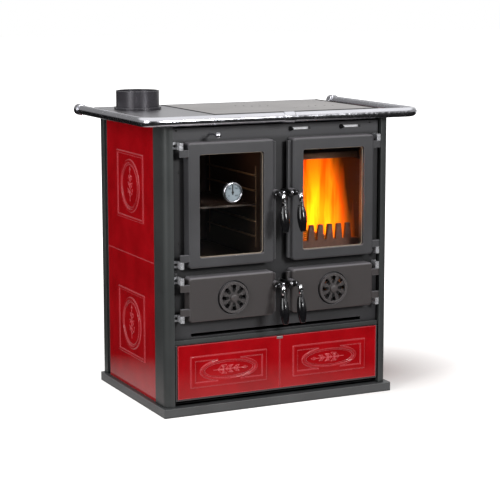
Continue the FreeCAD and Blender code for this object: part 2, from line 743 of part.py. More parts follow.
def make_side_tiles():
    for name, side in SIDES:
        make_side_tile(f"tile_{name}_lower", side, s.plinth_height + s.tile_gap * 2,
                       s.tile_seam - s.tile_gap, s.relief_low)
        make_side_tile(f"tile_{name}_upper", side, s.tile_seam + s.tile_gap,
                       post_top - s.tile_top_gap, s.relief_high)


# ---------------------------------------------------------------- worktop
def make_worktop():
    """A frame with a ledge for the hotplate and a hole for the flue collar."""
    body = new_body("worktop")
    half = s.worktop_width / 2
    drawing = sketch(body, "XY_Plane", post_top)
    rectangle(drawing, (-half, half), (-s.worktop_front, s.worktop_rear))
    pad(body, drawing, s.worktop_thick)
    dress(body, "Fillet", s.worktop_round, lambda edge: runs_along(edge, 2))
    seat = sketch(body, "XY_Plane", s.worktop_top)
    rectangle(seat, (-s.hotplate_left, s.hotplate_right), (-s.hotplate_front, s.hotplate_rear))
    pocket(body, seat, s.hotplate_thick)
    hole = sketch(body, "XY_Plane", s.worktop_top)
    ledge = s.hotplate_ledge
    rectangle(hole, (-s.hotplate_left + ledge, s.hotplate_right - ledge),
              (-s.hotplate_front + ledge, s.hotplate_rear - ledge))
    circle(hole, (-s.flue_x, s.flue_y), s.flue_spigot)
    pocket(body, hole, s.worktop_thick)
    return keep(body, "worktop")


def make_hotplate():
    """The cooking plate over fire and oven, with a seat for its round lid."""
    body = new_body("hotplate")
    drawing = sketch(body, "XY_Plane", s.worktop_top - s.hotplate_thick)
    gap = s.seat_gap
    rectangle(drawing, (-s.hotplate_left + gap, s.hotplate_right - gap),
              (-s.hotplate_front + gap, s.hotplate_rear - gap))
    circle(drawing, (s.lid_x, s.lid_y), s.lid_radius - s.lid_ledge)
    pad(body, drawing, s.hotplate_thick)
    seat = sketch(body, "XY_Plane", s.worktop_top)
    circle(seat, (s.lid_x, s.lid_y), s.lid_radius + gap)
    pocket(body, seat, s.lid_thick)
    return keep(body, "hotplate")


def make_hotplate_lid():
    """A round lid with a plug below and a socket for the lifter."""
    body = new_body("hotplate_lid")
    rim = sketch(body, "XY_Plane", s.worktop_top)
    circle(rim, (s.lid_x, s.lid_y), s.lid_radius)
    pad(body, rim, s.lid_thick, reverse=True)
    plug = sketch(body, "XY_Plane", s.worktop_top - s.lid_thick)
    circle(plug, (s.lid_x, s.lid_y), s.lid_radius - s.lid_ledge - s.seat_gap)
    pad(body, plug, s.lid_drop - s.lid_thick, reverse=True)
    socket = sketch(body, "XY_Plane", s.worktop_top)
    circle(socket, (s.lid_x, s.lid_y - s.lid_lift_at), s.lid_lift_hole)
    pocket(body, socket, s.lid_thick)
    return keep(body, "hotplate_lid")


def make_flue_collar():
    """A turned collar: a socket above its flange and a spigot below it."""
    body = new_body("flue_collar")
    drawing = sketch(body, "XZ_Plane", zero)
    inner = s.flue_radius - s.flue_wall
    spigot = s.flue_spigot - s.seat_gap
    outline(drawing,
            (spigot - s.flue_wall, post_top),
            (spigot, post_top),
            (spigot, s.worktop_top),
            (s.flue_flange, s.worktop_top),
            (s.flue_flange, s.worktop_top + s.flue_flange_thick),
            (s.flue_radius, s.worktop_top + s.flue_flange_thick),
            (s.flue_radius, s.flue_top),
            (inner, s.flue_top),
            (inner, s.worktop_top + s.flue_flange_thick),
            (spigot - s.flue_wall, s.worktop_top + s.flue_flange_thick))
    turned = feature(body, "Revolution", drawing, Angle=360)
    turned.ReferenceAxis = (drawing, ["V_Axis"])
    put(body, -s.flue_x, s.flue_y)
    return keep(body, "flue_collar")


# ---------------------------------------------------------------- towel rail
def make_rail():
    """One bent tube round the front and both sides of the worktop."""
    path_body = new_body("rail")
    path = sketch(path_body, "XY_Plane", s.rail_z)
    half, front, bend = float(rail_half), -float(rail_front), float(s.rail_bend)
    rear = float(rail_rear)

    def point(x, y):
        return FreeCAD.Vector(x, y, 0)

    z_up = FreeCAD.Vector(0, 0, 1)
    left_arc = Part.Circle(point(-half + bend, front + bend), z_up, bend)
    right_arc = Part.Circle(point(half - bend, front + bend), z_up, bend)
    path.addGeometry(Part.LineSegment(point(-half, rear), point(-half, front + bend)), False)
    path.addGeometry(Part.ArcOfCircle(left_arc, math.pi, 1.5 * math.pi), False)
    path.addGeometry(Part.LineSegment(point(-half + bend, front), point(half - bend, front)), False)
    path.addGeometry(Part.ArcOfCircle(right_arc, 1.5 * math.pi, 2 * math.pi), False)
    path.addGeometry(Part.LineSegment(point(half, front + bend), point(half, rear)), False)
    for first, first_end, second, second_end in ((0, 2, 1, 1), (1, 2, 2, 1), (2, 2, 3, 1), (3, 2, 4, 1)):
        path.addConstraint(Sketcher.Constraint("Tangent", first, first_end, second, second_end))
    fix_point(path, 0, 1, (-rail_half, rail_rear))
    fix_point(path, 4, 2, (rail_half, rail_rear))
    path.addConstraint(Sketcher.Constraint("Vertical", 0))
    path.addConstraint(Sketcher.Constraint("Horizontal", 2))
    path.addConstraint(Sketcher.Constraint("Vertical", 4))
    fix_line = path.addConstraint(Sketcher.Constraint("DistanceY", 2, 1, -1, 1, -front))
    path.setExpression(f"Constraints[{fix_line}]", rail_front.formula)
    for arc in (1, 3):
        held = path.addConstraint(Sketcher.Constraint("Radius", arc, bend))
        path.setExpression(f"Constraints[{held}]", s.rail_bend.formula)
    section = sketch(path_body, "XZ_Plane", -rail_rear)
    circle(section, (-rail_half, s.rail_z), s.rail_radius)
    circle(section, (-rail_half, s.rail_z), s.rail_radius - s.rail_wall)
    pipe = feature(path_body, "AdditivePipe", section)
    pipe.Spine = (path, [])
    return keep(path_body, "rail")


def make_rail_fittings():
    """End collars on feet at the rear, two studs at the front and the clamp."""
    bore = s.rail_radius + s.rail_fit
    half = s.worktop_width / 2
    fittings = []
    for name, side in SIDES:
        x = rail_half * side
        end = rail_rear + s.rail_fit
        sleeve = cylinder(f"collar_{name}", (x, end - s.collar_length, s.rail_z),
                          s.collar_radius, s.collar_length + s.collar_cap, TURN_TO_Y)
        middle = rail_rear - s.collar_length / 2
        foot = box(f"foot_{name}", across(side, half, rail_half),
                   (middle - s.foot_long / 2, middle + s.foot_long / 2),
                   (post_top + s.tile_gap, post_top + s.tile_gap + s.foot_high))
        tube = cylinder(f"collar_bore_{name}", (x, end - s.collar_length, s.rail_z), bore,
                        s.collar_length, TURN_TO_Y)
        fittings.append(cut(f"end_{name}", fuse(f"end_solid_{name}", sleeve, foot), tube))
    stud_z = post_top + s.worktop_thick / 2
    for name, side in SIDES:
        stud = cylinder(f"stud_solid_{name}", (stud_x * side, -rail_front, stud_z),
                        s.stud_radius, rail_front - s.worktop_front, TURN_TO_Y)
        tube = cylinder(f"stud_bore_{name}", (stud_x * side - s.stud_radius, -rail_front, s.rail_z),
                        bore, s.stud_radius * 2, TURN_TO_X)
        fittings.append(cut(f"stud_{name}", stud, tube))
    low = s.clamp_x - s.clamp_long / 2
    ring = cylinder("clamp_ring", (low, -rail_front, s.rail_z), s.clamp_radius, s.clamp_long, TURN_TO_X)
    stem = box("clamp_stem", (s.clamp_x - s.stud_radius, s.clamp_x + s.stud_radius),
               (-rail_front, -s.worktop_front), (post_top + s.tile_gap, s.rail_z))
    tube = cylinder("clamp_bore", (low, -rail_front, s.rail_z), bore, s.clamp_long, TURN_TO_X)
    fittings.append(cut("clamp", fuse("clamp_solid", ring, stem), tube))
    return keep(group("rail_fittings", fittings), "rail_fittings")


# ---------------------------------------------------------------- front casting
def make_facade():
    """The cast front plate with its doorways and air slots."""
    body = new_body("facade")
    flange = sketch(body, "XZ_Plane", s.front_back)
    rectangle(flange, (-front_flange, front_flange), (s.front_low, s.front_high))
    pad(body, flange, facade_flange_front - s.front_back)
    panel = sketch(body, "XZ_Plane", facade_flange_front)
    rectangle(panel, (-front_half, front_half), (s.front_low, s.front_high))
    pad(body, panel, s.front_raise)
    thick = s.front_plane - s.front_back
    doorways = sketch(body, "XZ_Plane", s.front_plane)
    for name, side in SIDES:
        rectangle(doorways, across(side, opening_in, opening_out),
                  (s.upper_low + s.opening_lap, s.upper_high - s.opening_lap))
        rectangle(doorways, across(side, opening_in, opening_out),
                  (s.lower_low + s.opening_lap_low, s.lower_high - s.opening_lap_low))
    pocket(body, doorways, thick)
    slots = sketch(body, "XZ_Plane", s.front_plane)
    rectangle(slots, (-s.long_slot_half, s.long_slot_half), (s.long_slot_low, s.long_slot_high))
    for left in (s.slot_one, second_slot):
        rectangle(slots, (left, left + s.slot_long),
                  (s.slot_z - s.slot_high / 2, s.slot_z + s.slot_high / 2))
    circle(slots, (-s.damper_x, s.damper_z), s.damper_rod + s.pin_fit)
    pocket(body, slots, thick)
    return keep(body, "facade")


def make_drawer_bar():
    bar = box("drawer_bar_flange", (-sheet_in, sheet_in), (-facade_flange_front, -s.bar_back),
              (s.bar_low, s.front_low))
    nose_half = s.body_width / 2 - s.post_face - s.tile_gap
    nose = box("drawer_bar_nose", (-nose_half, nose_half), (-s.bar_front, -s.bar_back),
               (s.bar_low, s.front_low))
    return keep(fuse("drawer_bar_whole", bar, nose), "drawer_bar")


# ---------------------------------------------------------------- doors
def hinge_levels(low, high):
    """For each hinge: its barrel's lower end and its lug's lower end."""
    lug = s.barrel_high - s.knuckle_gap
    top = high - s.barrel_high
    return ((top, top - s.barrel_high), (low, low + s.barrel_high + s.knuckle_gap), lug)


def make_door_casting(name, side, low, high, latch_z):
    """The shell of a door: front plate, rim all round and a lip at its free edge."""
    body = new_body(name + "_shell")
    level = s.front_plane + s.door_gap
    shell = sketch(body, "XZ_Plane", level)
    rectangle(shell, across(side, s.door_in, door_out), (low, high))
    pad(body, shell, door_depth)
    face = -float(s.door_front)
    dress(body, "Fillet", s.door_round, lambda edge: runs_along(edge, 1))
    dress(body, "Fillet", s.door_edge,
          lambda edge: near(edge.BoundBox.YMin, face) and near(edge.BoundBox.YMax, face))
    hollow = sketch(body, "XZ_Plane", level)
    rectangle(hollow, across(side, s.door_in + s.door_wall, door_out - s.door_wall),
              (low + s.door_wall, high - s.door_wall))
    pocket(body, hollow, door_depth - s.door_plate, reverse=True)
    lip = sketch(body, "XZ_Plane", s.lip_back)
    rectangle(lip, across(side, lip_in, s.door_in + s.door_wall / 2),
              (low + s.lip_short, high - s.lip_short))
    pad(body, lip, s.lip_front - s.lip_back)
    boss = sketch(body, "XZ_Plane", s.lip_front)
    circle(boss, (s.latch_x * side, latch_z), s.boss_radius)
    pad(body, boss, s.boss_front - s.lip_front)
    bore = sketch(body, "XZ_Plane", s.boss_front)
    circle(bore, (s.latch_x * side, latch_z), s.spindle_radius + s.pin_fit)
    pocket(body, bore, s.spindle_long + s.pin_fit)
    return body


def cut_window(body, side):
    window = sketch(body, "XZ_Plane", s.door_front)
    rectangle(window, across(side, window_in, window_out), (window_low, window_high))
    pocket(body, window, s.door_plate)
    xs = [float(end) for end in across(side, window_in, window_out)]
    zs = [float(window_low), float(window_high)]
    dress(body, "Fillet", s.window_round, lambda edge: runs_along(edge, 1)
          and any(near(edge.Vertexes[0].X, x) for x in xs)
          and any(near(edge.Vertexes[0].Z, z) for z in zs))


def cut_register_seat(body, side):
    """The groove round a register, its spindle bore and the air slots behind it."""
    centre = (s.register_x * side, s.register_z)
    groove = sketch(body, "XZ_Plane", s.door_front)
    circle(groove, centre, s.ring_radius)
    circle(groove, centre, s.register_radius)
    pocket(body, groove, s.ring_deep)
    bore = sketch(body, "XZ_Plane", s.door_front)
    circle(bore, centre, s.spindle_radius + s.pin_fit)
    pocket(body, bore, s.door_plate)
    cut_radial_slots(body, s.door_front, s.door_plate, centre)


def cut_radial_slots(body, level, depth, centre):
    """A radial slot, repeated round the centre."""
    slot = sketch(body, "XZ_Plane", level, centre)
    half = s.register_slot / 2
    rectangle(slot, (-half, half), (s.register_in, s.register_out))
    first = pocket(body, slot, depth)
    repeat_round(body, first, slot, s.register_count)


def make_door(name, side, low, high, latch_z, window):
    shell = make_door_casting(name, side, low, high, latch_z)
    if window:
        cut_window(shell, side)
    else:
        cut_register_seat(shell, side)
    top, bottom, lug_high = hinge_levels(low, high)
    pieces = [shell]
    bores = []
    for barrel_low, lug_low in (top, bottom):
        arm = box(name + "_lug_arm", across(side, door_out - s.door_wall / 2, hinge_x),
                  (-s.hinge_y - s.barrel_radius, -s.hinge_y + s.barrel_radius),
                  (lug_low, lug_low + lug_high))
        eye = cylinder(name + "_lug_eye", (hinge_x * side, -s.hinge_y, lug_low),
                       s.barrel_radius, lug_high)
        hole = cylinder(name + "_lug_hole", (hinge_x * side, -s.hinge_y, lug_low),
                        s.pin_radius + s.pin_fit, lug_high)
        pieces += [arm, eye]
        bores.append(hole)
    door = cut(name, fuse(name + "_solid", *pieces), fuse(name + "_bores", *bores))
    return keep(door, name)


DOORS = (
    ("upper", s.upper_low, s.upper_high, s.latch_high, True),
    ("lower", s.lower_low, s.lower_high, s.latch_low, False),
)


def make_hinge_brackets():
    """Eight brackets on the facade, each a barrel with its pin, an arm and a screwed leaf."""
    brackets = []
    for name, low, high, latch_z, window in DOORS:
        top, bottom, lug_high = hinge_levels(low, high)
        for side_name, side in SIDES:
            for place, (barrel_low, lug_low) in (("top", top), ("bottom", bottom)):
                tag = f"{place}_{name}_{side_name}"
                low_end = barrel_low if float(barrel_low) < float(lug_low) else lug_low
                at = (hinge_x * side, -s.hinge_y, barrel_low)
                barrel = cylinder("barrel_" + tag, at, s.barrel_radius, s.barrel_high)
                pin = cylinder("pin_" + tag, (at[0], at[1], low_end), s.pin_radius, s.barrel_high * 2)
                high_end = barrel_low + s.barrel_high
                arm = box("arm_" + tag, across(side, hinge_x - s.arm_wide / 2, hinge_x + s.arm_wide / 2),
                          (-s.hinge_y, -s.front_plane), (barrel_low, high_end))
                leaf = box("leaf_" + tag, across(side, hinge_x, hinge_x + s.leaf_reach),
                           (-s.front_plane - s.leaf_thick, -s.front_plane), (barrel_low, high_end))
                hole_x = hinge_x + (s.leaf_reach + s.arm_wide / 2) / 2
                hole = cylinder("leaf_hole_" + tag,
                                (hole_x * side, -s.front_plane, (barrel_low + high_end) / 2),
                                s.leaf_hole, s.leaf_thick, TURN_TO_MINUS_Y)
                solid = fuse("bracket_solid_" + tag, barrel, pin, arm, leaf)
                brackets.append(cut("bracket_" + tag, solid, hole))
    return keep(group("hinge_brackets", brackets), "hinge_brackets")


def make_keepers():
    """Four studs on the facade's middle, each over a latch's tongue."""
    studs = []
    for name, low, high, latch_z, window in DOORS:
        for side_name, side in SIDES:
            studs.append(cylinder(f"keeper_{name}_{side_name}",
                                  (s.keeper_x * side, -s.front_plane, latch_z),
                                  s.keeper_radius, s.keeper_front - s.front_plane, TURN_TO_MINUS_Y))
    return keep(group("keepers", studs), "keepers")


def make_glass(name, side):
    pane = box(name + "_pane", across(side, window_in - s.glass_lap, window_out + s.glass_lap),
               (-plate_back, -plate_back + s.glass_thick),
               (window_low - s.glass_lap, window_high + s.glass_lap))
    if side > 0:
        return keep(pane, name)
    hole = cylinder(name + "_hole", (-s.dial_x, -plate_back, s.dial_z),
                    s.dial_stem + s.seat_gap, s.glass_thick, TURN_TO_Y)
    return keep(cut(name + "_bored", pane, hole), name)


def make_glass_clips(name, side):
    """Four cranked clips that hold a pane against the door's plate."""
    clips = []
    glass_back = -plate_back + s.glass_thick
    for level_name, level in (("low", window_low + s.clip_at),
                              ("high", window_high - s.clip_at)):
        for edge_name, edge, away in (("in", window_in - s.glass_lap, -1),
                                      ("out", window_out + s.glass_lap, 1)):
            tag = f"{name}_{level_name}_{edge_name}"
            foot_near = edge + s.seat_gap * away
            foot_far = edge + s.clip_wide * away
            foot = box(tag + "_foot", sorted([foot_near * side, foot_far * side], key=float),
                       (-plate_back, glass_back + s.clip_thick),
                       (level - s.clip_long / 2, level + s.clip_long / 2))
            lap_end = edge - s.clip_lap * away
            tongue = box(tag + "_tongue", sorted([lap_end * side, foot_far * side], key=float),
                         (glass_back, glass_back + s.clip_thick),
                         (level - s.clip_long / 2, level + s.clip_long / 2))
            clips.append(fuse(tag, foot, tongue))
    return keep(group(name, clips), name)


def make_door_rope(name, side, low, high):
    """The rope that seals a door against the facade."""
    near_middle = s.door_in + s.door_wall + s.seat_gap
    far = door_out - s.door_wall - s.seat_gap
    bottom, top = low + s.door_wall + s.seat_gap, high - s.door_wall - s.seat_gap
    depth = (-s.front_plane - s.seat_gap - s.rope, -s.front_plane - s.seat_gap)
    ring = box(name + "_outer", across(side, near_middle, far), depth, (bottom, top))
    inside = box(name + "_inner", across(side, near_middle + s.rope, far - s.rope), depth,
                 (bottom + s.rope, top - s.rope))
    return keep(cut(name, ring, inside), name)


# ---------------------------------------------------------------- latches
def lean_to_grip(body, side, pivot_z):
    """Put a body, drawn along its own -Z, on the leaning axis of a grip."""
    body.Placement = FreeCAD.Placement(
        FreeCAD.Vector(0, 0, 0), FreeCAD.Rotation(FreeCAD.Vector(-1, 0, 0), float(s.grip_tilt)))
    body.setExpression("Placement.Rotation.Angle", s.grip_tilt.formula)
    return put(body, s.latch_x * side, -s.grip_top_y, pivot_z - s.grip_drop)


def draw_tang(body, clearance):
    """The tang's section across the grip, seen from the grip's top."""
    drawing = sketch(body, "XY_Plane", -s.tang_long - clearance)
    half = s.tang_wide / 2 + clearance
    rectangle(drawing, (-half, half), (-s.grip_belly, -s.grip_belly + s.tang_deep + clearance))
    return drawing


def make_tongue(name, side, pivot_z):
    """A bar from the hub's far side to the keeper, falling towards its tip."""
    body = new_body(name + "_tongue")
    drawing = sketch(body, "XZ_Plane", s.boss_front + s.latch_gap)
    fall = s.tongue_fall * (s.tongue_heel - s.keeper_x) / (s.tongue_heel - s.tongue_tip)
    heel_top = pivot_z - s.keeper_radius - s.keeper_gap + fall
    tip_top = heel_top - s.tongue_fall
    outline(drawing,
            (s.tongue_heel * side, heel_top),
            (s.tongue_tip * side, tip_top),
            (s.tongue_tip * side, tip_top - s.tongue_high),
            (s.tongue_heel * side, heel_top - s.tongue_high))
    pad(body, drawing, s.tongue_thick)
    return body


def make_latch(name, side, pivot_z):
    """Hub, spindle, neck, knuckle and tang in one forging, with its tongue."""
    x = s.latch_x * side
    hub_back = -s.boss_front - s.latch_gap
    hub_front = hub_back - s.hub_long
    hub = cylinder(name + "_hub", (x, hub_back, pivot_z), s.hub_radius, s.hub_long, TURN_TO_MINUS_Y)
    spindle = cylinder(name + "_spindle", (x, hub_front, pivot_z), s.spindle_radius,
                       s.hub_long + s.latch_gap + s.spindle_long, TURN_TO_Y)
    neck = cylinder(name + "_neck", (x, hub_front + s.neck_radius, pivot_z - s.neck_radius),
                    s.neck_radius, s.knuckle_front + hub_front + s.neck_radius, TURN_TO_MINUS_Y)
    knuckle = doc.addObject("Part::Ellipsoid", name + "_knuckle")
    tie(knuckle, Radius1=s.knuckle_high, Radius2=s.knuckle_wide, Radius3=s.knuckle_wide)
    put(knuckle, x, -s.knuckle_front, pivot_z - s.knuckle_drop)
    tang = new_body(name + "_tang")
    pad(tang, draw_tang(tang, zero), s.tang_long + s.knuckle_high)
    lean_to_grip(tang, side, pivot_z)
    tongue = make_tongue(name, side, pivot_z)
    return keep(fuse(name, hub, spindle, neck, knuckle, tang, tongue), name)


def make_grip(name, side, pivot_z):
    """A turned grip, fullest at its middle, with a groove for the tang."""
    body = new_body(name)
    drawing = sketch(body, "XZ_Plane", zero)
    sag = s.grip_belly - (s.grip_end + s.grip_tip) / 2
    bow = s.grip_long * s.grip_long / (sag * 8) + sag / 2
    low = -float(s.grip_long)
    corners = [FreeCAD.Vector(x, y, 0) for x, y in
               ((0, 0), (float(s.grip_end), 0), (float(s.grip_tip), low), (0, low))]
    centre = FreeCAD.Vector(float(s.grip_belly - bow), low / 2, 0)
    spread = math.asin(-low / 2 / float(bow))
    side_arc = Part.Circle(centre, FreeCAD.Vector(0, 0, 1), float(bow))
    drawing.addGeometry(Part.LineSegment(corners[0], corners[1]), False)
    drawing.addGeometry(Part.ArcOfCircle(side_arc, -spread, spread), False)
    drawing.addGeometry(Part.LineSegment(corners[2], corners[3]), False)
    drawing.addGeometry(Part.LineSegment(corners[3], corners[0]), False)
    for first, first_end, second, second_end in ((0, 2, 1, 2), (1, 1, 2, 1), (2, 2, 3, 1), (3, 2, 0, 1)):
        drawing.addConstraint(
            Sketcher.Constraint("Coincident", first, first_end, second, second_end))
    fix_point(drawing, 0, 1, (zero, zero))
    fix_point(drawing, 0, 2, (s.grip_end, zero))
    fix_point(drawing, 2, 1, (s.grip_tip, -s.grip_long))
    fix_point(drawing, 2, 2, (zero, -s.grip_long))
    held = drawing.addConstraint(Sketcher.Constraint("Radius", 1, float(bow)))
    drawing.setExpression(f"Constraints[{held}]", bow.formula)
    turned = feature(body, "Revolution", drawing, Angle=360)
    turned.ReferenceAxis = (drawing, ["V_Axis"])
    dress(body, "Fillet", s.grip_round, lambda edge: edge.Curve.TypeId == "Part::GeomCircle"
          and near(edge.BoundBox.ZMin, edge.BoundBox.ZMax))
    pocket(body, draw_tang(body, s.tang_fit), s.tang_long * 2, reverse=True)
    lean_to_grip(body, side, pivot_z)
    return keep(body, name)


# ---------------------------------------------------------------- air controls
def make_register(name, side):
    """A slotted disc with a raised rim, a domed knob and its spindle."""
    body = new_body(name)
    centre = (s.register_x * side, s.register_z)
    back = s.door_front + s.register_gap
    disc = sketch(body, "XZ_Plane", back)
    circle(disc, centre, s.register_radius)
    pad(body, disc, s.register_thick)
    rim = sketch(body, "XZ_Plane", back)
    circle(rim, centre, s.register_radius)
    circle(rim, centre, s.register_radius - s.register_rim)
    pad(body, rim, s.register_thick + s.register_rise)
    knob = sketch(body, "XZ_Plane", back)
    circle(knob, centre, s.register_knob)
    pad(body, knob, s.register_thick + s.register_knob_rise)
    face = -float(back + s.register_thick + s.register_knob_rise)
    dress(body, "Fillet", s.register_knob_rise - s.register_rise, lambda edge:
          near(edge.BoundBox.YMin, face) and near(edge.BoundBox.YMax, face))
    lip = sketch(body, "XZ_Plane", back, centre)
    half = s.register_slot / 2 + s.slot_lip
    rectangle(lip, (-half, half), (s.register_in - s.slot_lip, s.register_out))
    first = pad(body, lip, s.register_thick + s.register_rise)
    repeat_round(body, first, lip, s.register_count)
    cut_radial_slots(body, back + s.register_thick + s.register_rise,
                     s.register_thick + s.register_rise, centre)
    spindle = sketch(body, "XZ_Plane", back)
    circle(spindle, centre, s.spindle_radius)
    pad(body, spindle, s.register_gap + s.door_plate, reverse=True)
    return keep(body, name)


def make_air_slider(name, slot_left):
    """A shutter behind the facade, worked by a pointed knob through the slot."""
    back = -s.front_back + s.slide_fit
    middle = slot_left + s.slot_long / 2
    shutter = box(name + "_shutter", (middle - s.shutter_long / 2, middle + s.shutter_long / 2),
                  (back, back + s.shutter_thick),
                  (s.slot_z - s.shutter_high / 2, s.slot_z + s.shutter_high / 2))
    neck_left = slot_left + s.shutter_inset
    half = s.slot_high / 2 - s.slide_fit
    neck = box(name + "_neck", (neck_left, neck_left + s.shutter_neck),
               (-s.front_plane - s.slide_fit, back), (s.slot_z - half, s.slot_z + half))
    knob = doc.addObject("Part::Cone", name + "_knob")
    tie(knob, Radius1=s.slider_knob, Radius2=s.slider_tip, Height=s.slider_rise)
    knob.Placement = FreeCAD.Placement(FreeCAD.Vector(0, 0, 0), TURN_TO_MINUS_Y)
    put(knob, neck_left + s.shutter_neck / 2, -s.front_plane - s.slide_fit, s.slot_z)
    return keep(fuse(name, shutter, neck, knob), name)


def make_damper():
    """A flat plate on the oven's top, drawn by a rod with a ball at the front."""
    rod = cylinder("damper_shaft", (-s.damper_x, -s.damper_front, s.damper_z), s.damper_rod,
                   s.damper_front - s.damper_lug, TURN_TO_Y)
    ball = doc.addObject("Part::Sphere", "damper_knob")
    tie(ball, Radius=s.damper_ball)
    put(ball, -s.damper_x, -s.damper_front, s.damper_z)
    keep(fuse("damper_rod", rod, ball), "damper_rod")
    low = s.oven_high + s.slide_fit
    plate = box("damper_flat", (-s.damper_x - s.damper_wide / 2, -s.damper_x + s.damper_wide / 2),
                (-s.damper_lug, -s.damper_lug + s.damper_long), (low, low + s.damper_plate))
    lug = box("damper_lug", (-s.damper_x - s.lug_half, -s.damper_x + s.lug_half),
              (-s.damper_lug, -s.damper_lug + s.lug_thick), (low, s.damper_z + s.lug_half))
    return keep(fuse("damper_plate", plate, lug), "damper_plate")


# ---------------------------------------------------------------- oven
def make_oven_box():
    body = new_body("oven_box")
    deep = s.oven_rear + s.front_back
    shell = sketch(body, "XZ_Plane", -s.oven_rear)
    rectangle(shell, (oven_left, oven_right), (s.oven_low, s.oven_high))
    pad(body, shell, deep)
    hollow = sketch(body, "XZ_Plane", s.front_back)
    wall = s.oven_wall
    rectangle(hollow, (oven_left + wall, oven_right - wall),
              (s.oven_low + wall, s.oven_high - wall))
    pocket(body, hollow, deep - wall)
    return keep(body, "oven_box")


def make_ladder(name, wall_x, side):
    """Two uprights on the oven's wall with rungs between them."""
    body = new_body(name)
    front, rear = -s.ladder_front, s.rung_long - s.ladder_front
    height = s.rung_pitch * (s.rung_count - 1)
    reverse = side < 0
    frame = sketch(body, "YZ_Plane", wall_x)
    low, high = s.rung_first - s.ladder_high, s.rung_first + height + s.ladder_high
    for start in (front, rear - s.rung_size):
        rectangle(frame, (start, start + s.rung_size), (low, high))
    pad(body, frame, s.ladder_wire, reverse)
    rung = sketch(body, "YZ_Plane", wall_x)
    rectangle(rung, (front, rear), (s.rung_first, s.rung_first + s.rung_size))
    first = pad(body, rung, s.rung_reach, reverse)
    pattern = body.newObject("PartDesign::LinearPattern", name + "_rungs")
    pattern.Originals = [first]
    pattern.Direction = (rung, ["V_Axis"])
    tie(pattern, Length=height, Occurrences=s.rung_count)
    body.Tip = pattern
    return body


def make_oven_ladders():
    right = make_ladder("ladder_right", oven_right - s.oven_wall, -1)
    left = make_ladder("ladder_left", oven_left + s.oven_wall, 1)
    return keep(group("oven_ladders", [left, right]), "oven_ladders")


def make_oven_tray():
    """A shallow tray that slides on two rungs of the ladders."""
    clear = s.ladder_wire + s.seat_gap
    low = s.rung_first + s.rung_pitch * s.shelf_rung + s.rung_size + s.seat_gap
    xs = (oven_left + s.oven_wall + clear, oven_right - s.oven_wall - clear)
    ys = (-s.shelf_front, s.shelf_deep - s.shelf_front)
    outer = box("tray_outer", xs, ys, (low, low + s.shelf_high))
    wall = s.shelf_thick
    inner = box("tray_inner", (xs[0] + wall, xs[1] - wall), (ys[0] + wall, ys[1] - wall),
                (low + wall, low + s.shelf_high))
    return keep(cut("oven_tray", outer, inner), "oven_tray")


# ---------------------------------------------------------------- firebox
def make_firebox():
    """A steel box, open in front and above, with the ledge for the grate."""
    body = new_body("firebox_shell")
    wall = s.oven_wall
    shell = sketch(body, "XY_Plane", s.fire_floor)
    rectangle(shell, (fire_left, fire_right), (-s.front_back, s.oven_rear))
    pad(body, shell, s.fire_top - s.fire_floor)
    hollow = sketch(body, "XY_Plane", s.fire_top)
    rectangle(hollow, (fire_left + wall, fire_right - wall), (-s.front_back, s.oven_rear - wall))
    pocket(body, hollow, s.fire_top - s.fire_floor - wall)
    ledge = sketch(body, "XY_Plane", s.grate_z - s.ledge_thick)
    rectangle(ledge, (fire_left + wall / 2, fire_right - wall / 2),
              (-s.front_back, s.oven_rear - wall / 2))
    rectangle(ledge, (fire_left + s.ledge_wide, fire_right - s.ledge_wide),
              (-s.front_back + s.ledge_wide, s.oven_rear - s.ledge_wide))
    pad(body, ledge, s.ledge_thick)
    return keep(body, "firebox_shell")


def make_fire_bricks():
    wall = s.oven_wall
    left, right = fire_left + wall, fire_right - wall
    rear = s.oven_rear - wall
    height = (s.grate_z, s.brick_top)
    bricks = [
        box("brick_left", (left, left + s.brick), (-s.front_back, rear), height),
        box("brick_right", (right - s.brick, right), (-s.front_back, rear), height),
        box("brick_rear", (left + s.brick, right - s.brick), (rear - s.brick, rear), height),
    ]
    return keep(group("fire_bricks", bricks), "fire_bricks")


def chamber():
    """The clear width between the side bricks."""
    inset = s.oven_wall + s.brick + s.seat_gap
    return fire_left + inset, fire_right - inset


def make_smoke_baffle():
    left, right = fire_left + s.oven_wall, fire_right - s.oven_wall
    plate = box("smoke_baffle", (left + s.seat_gap, right - s.seat_gap),
                (-s.baffle_front, s.oven_rear - s.oven_wall - s.seat_gap),
                (s.brick_top, s.brick_top + s.baffle_thick))
    return keep(plate, "smoke_baffle")


def make_fire_grate():
    """A cast plate with a row of long slots."""
    body = new_body("fire_grate")
    left, right = chamber()
    plate = sketch(body, "XY_Plane", s.grate_z)
    rectangle(plate, (left, right), (-s.grate_front, s.grate_rear))
    pad(body, plate, s.grate_thick)
    slot = sketch(body, "XY_Plane", s.grate_z + s.grate_thick)
    start = left + s.grate_border
    rectangle(slot, (start, start + s.grate_slot),
              (-s.grate_front + s.grate_border, s.grate_rear - s.grate_border))
    first = pocket(body, slot, s.grate_thick)
    pattern = body.newObject("PartDesign::LinearPattern", "grate_slots")
    pattern.Originals = [first]
    pattern.Direction = (slot, ["H_Axis"])
    tie(pattern, Length=right - start - s.grate_border - s.grate_slot, Occurrences=s.grate_slots)
    body.Tip = pattern
    return keep(body, "fire_grate")


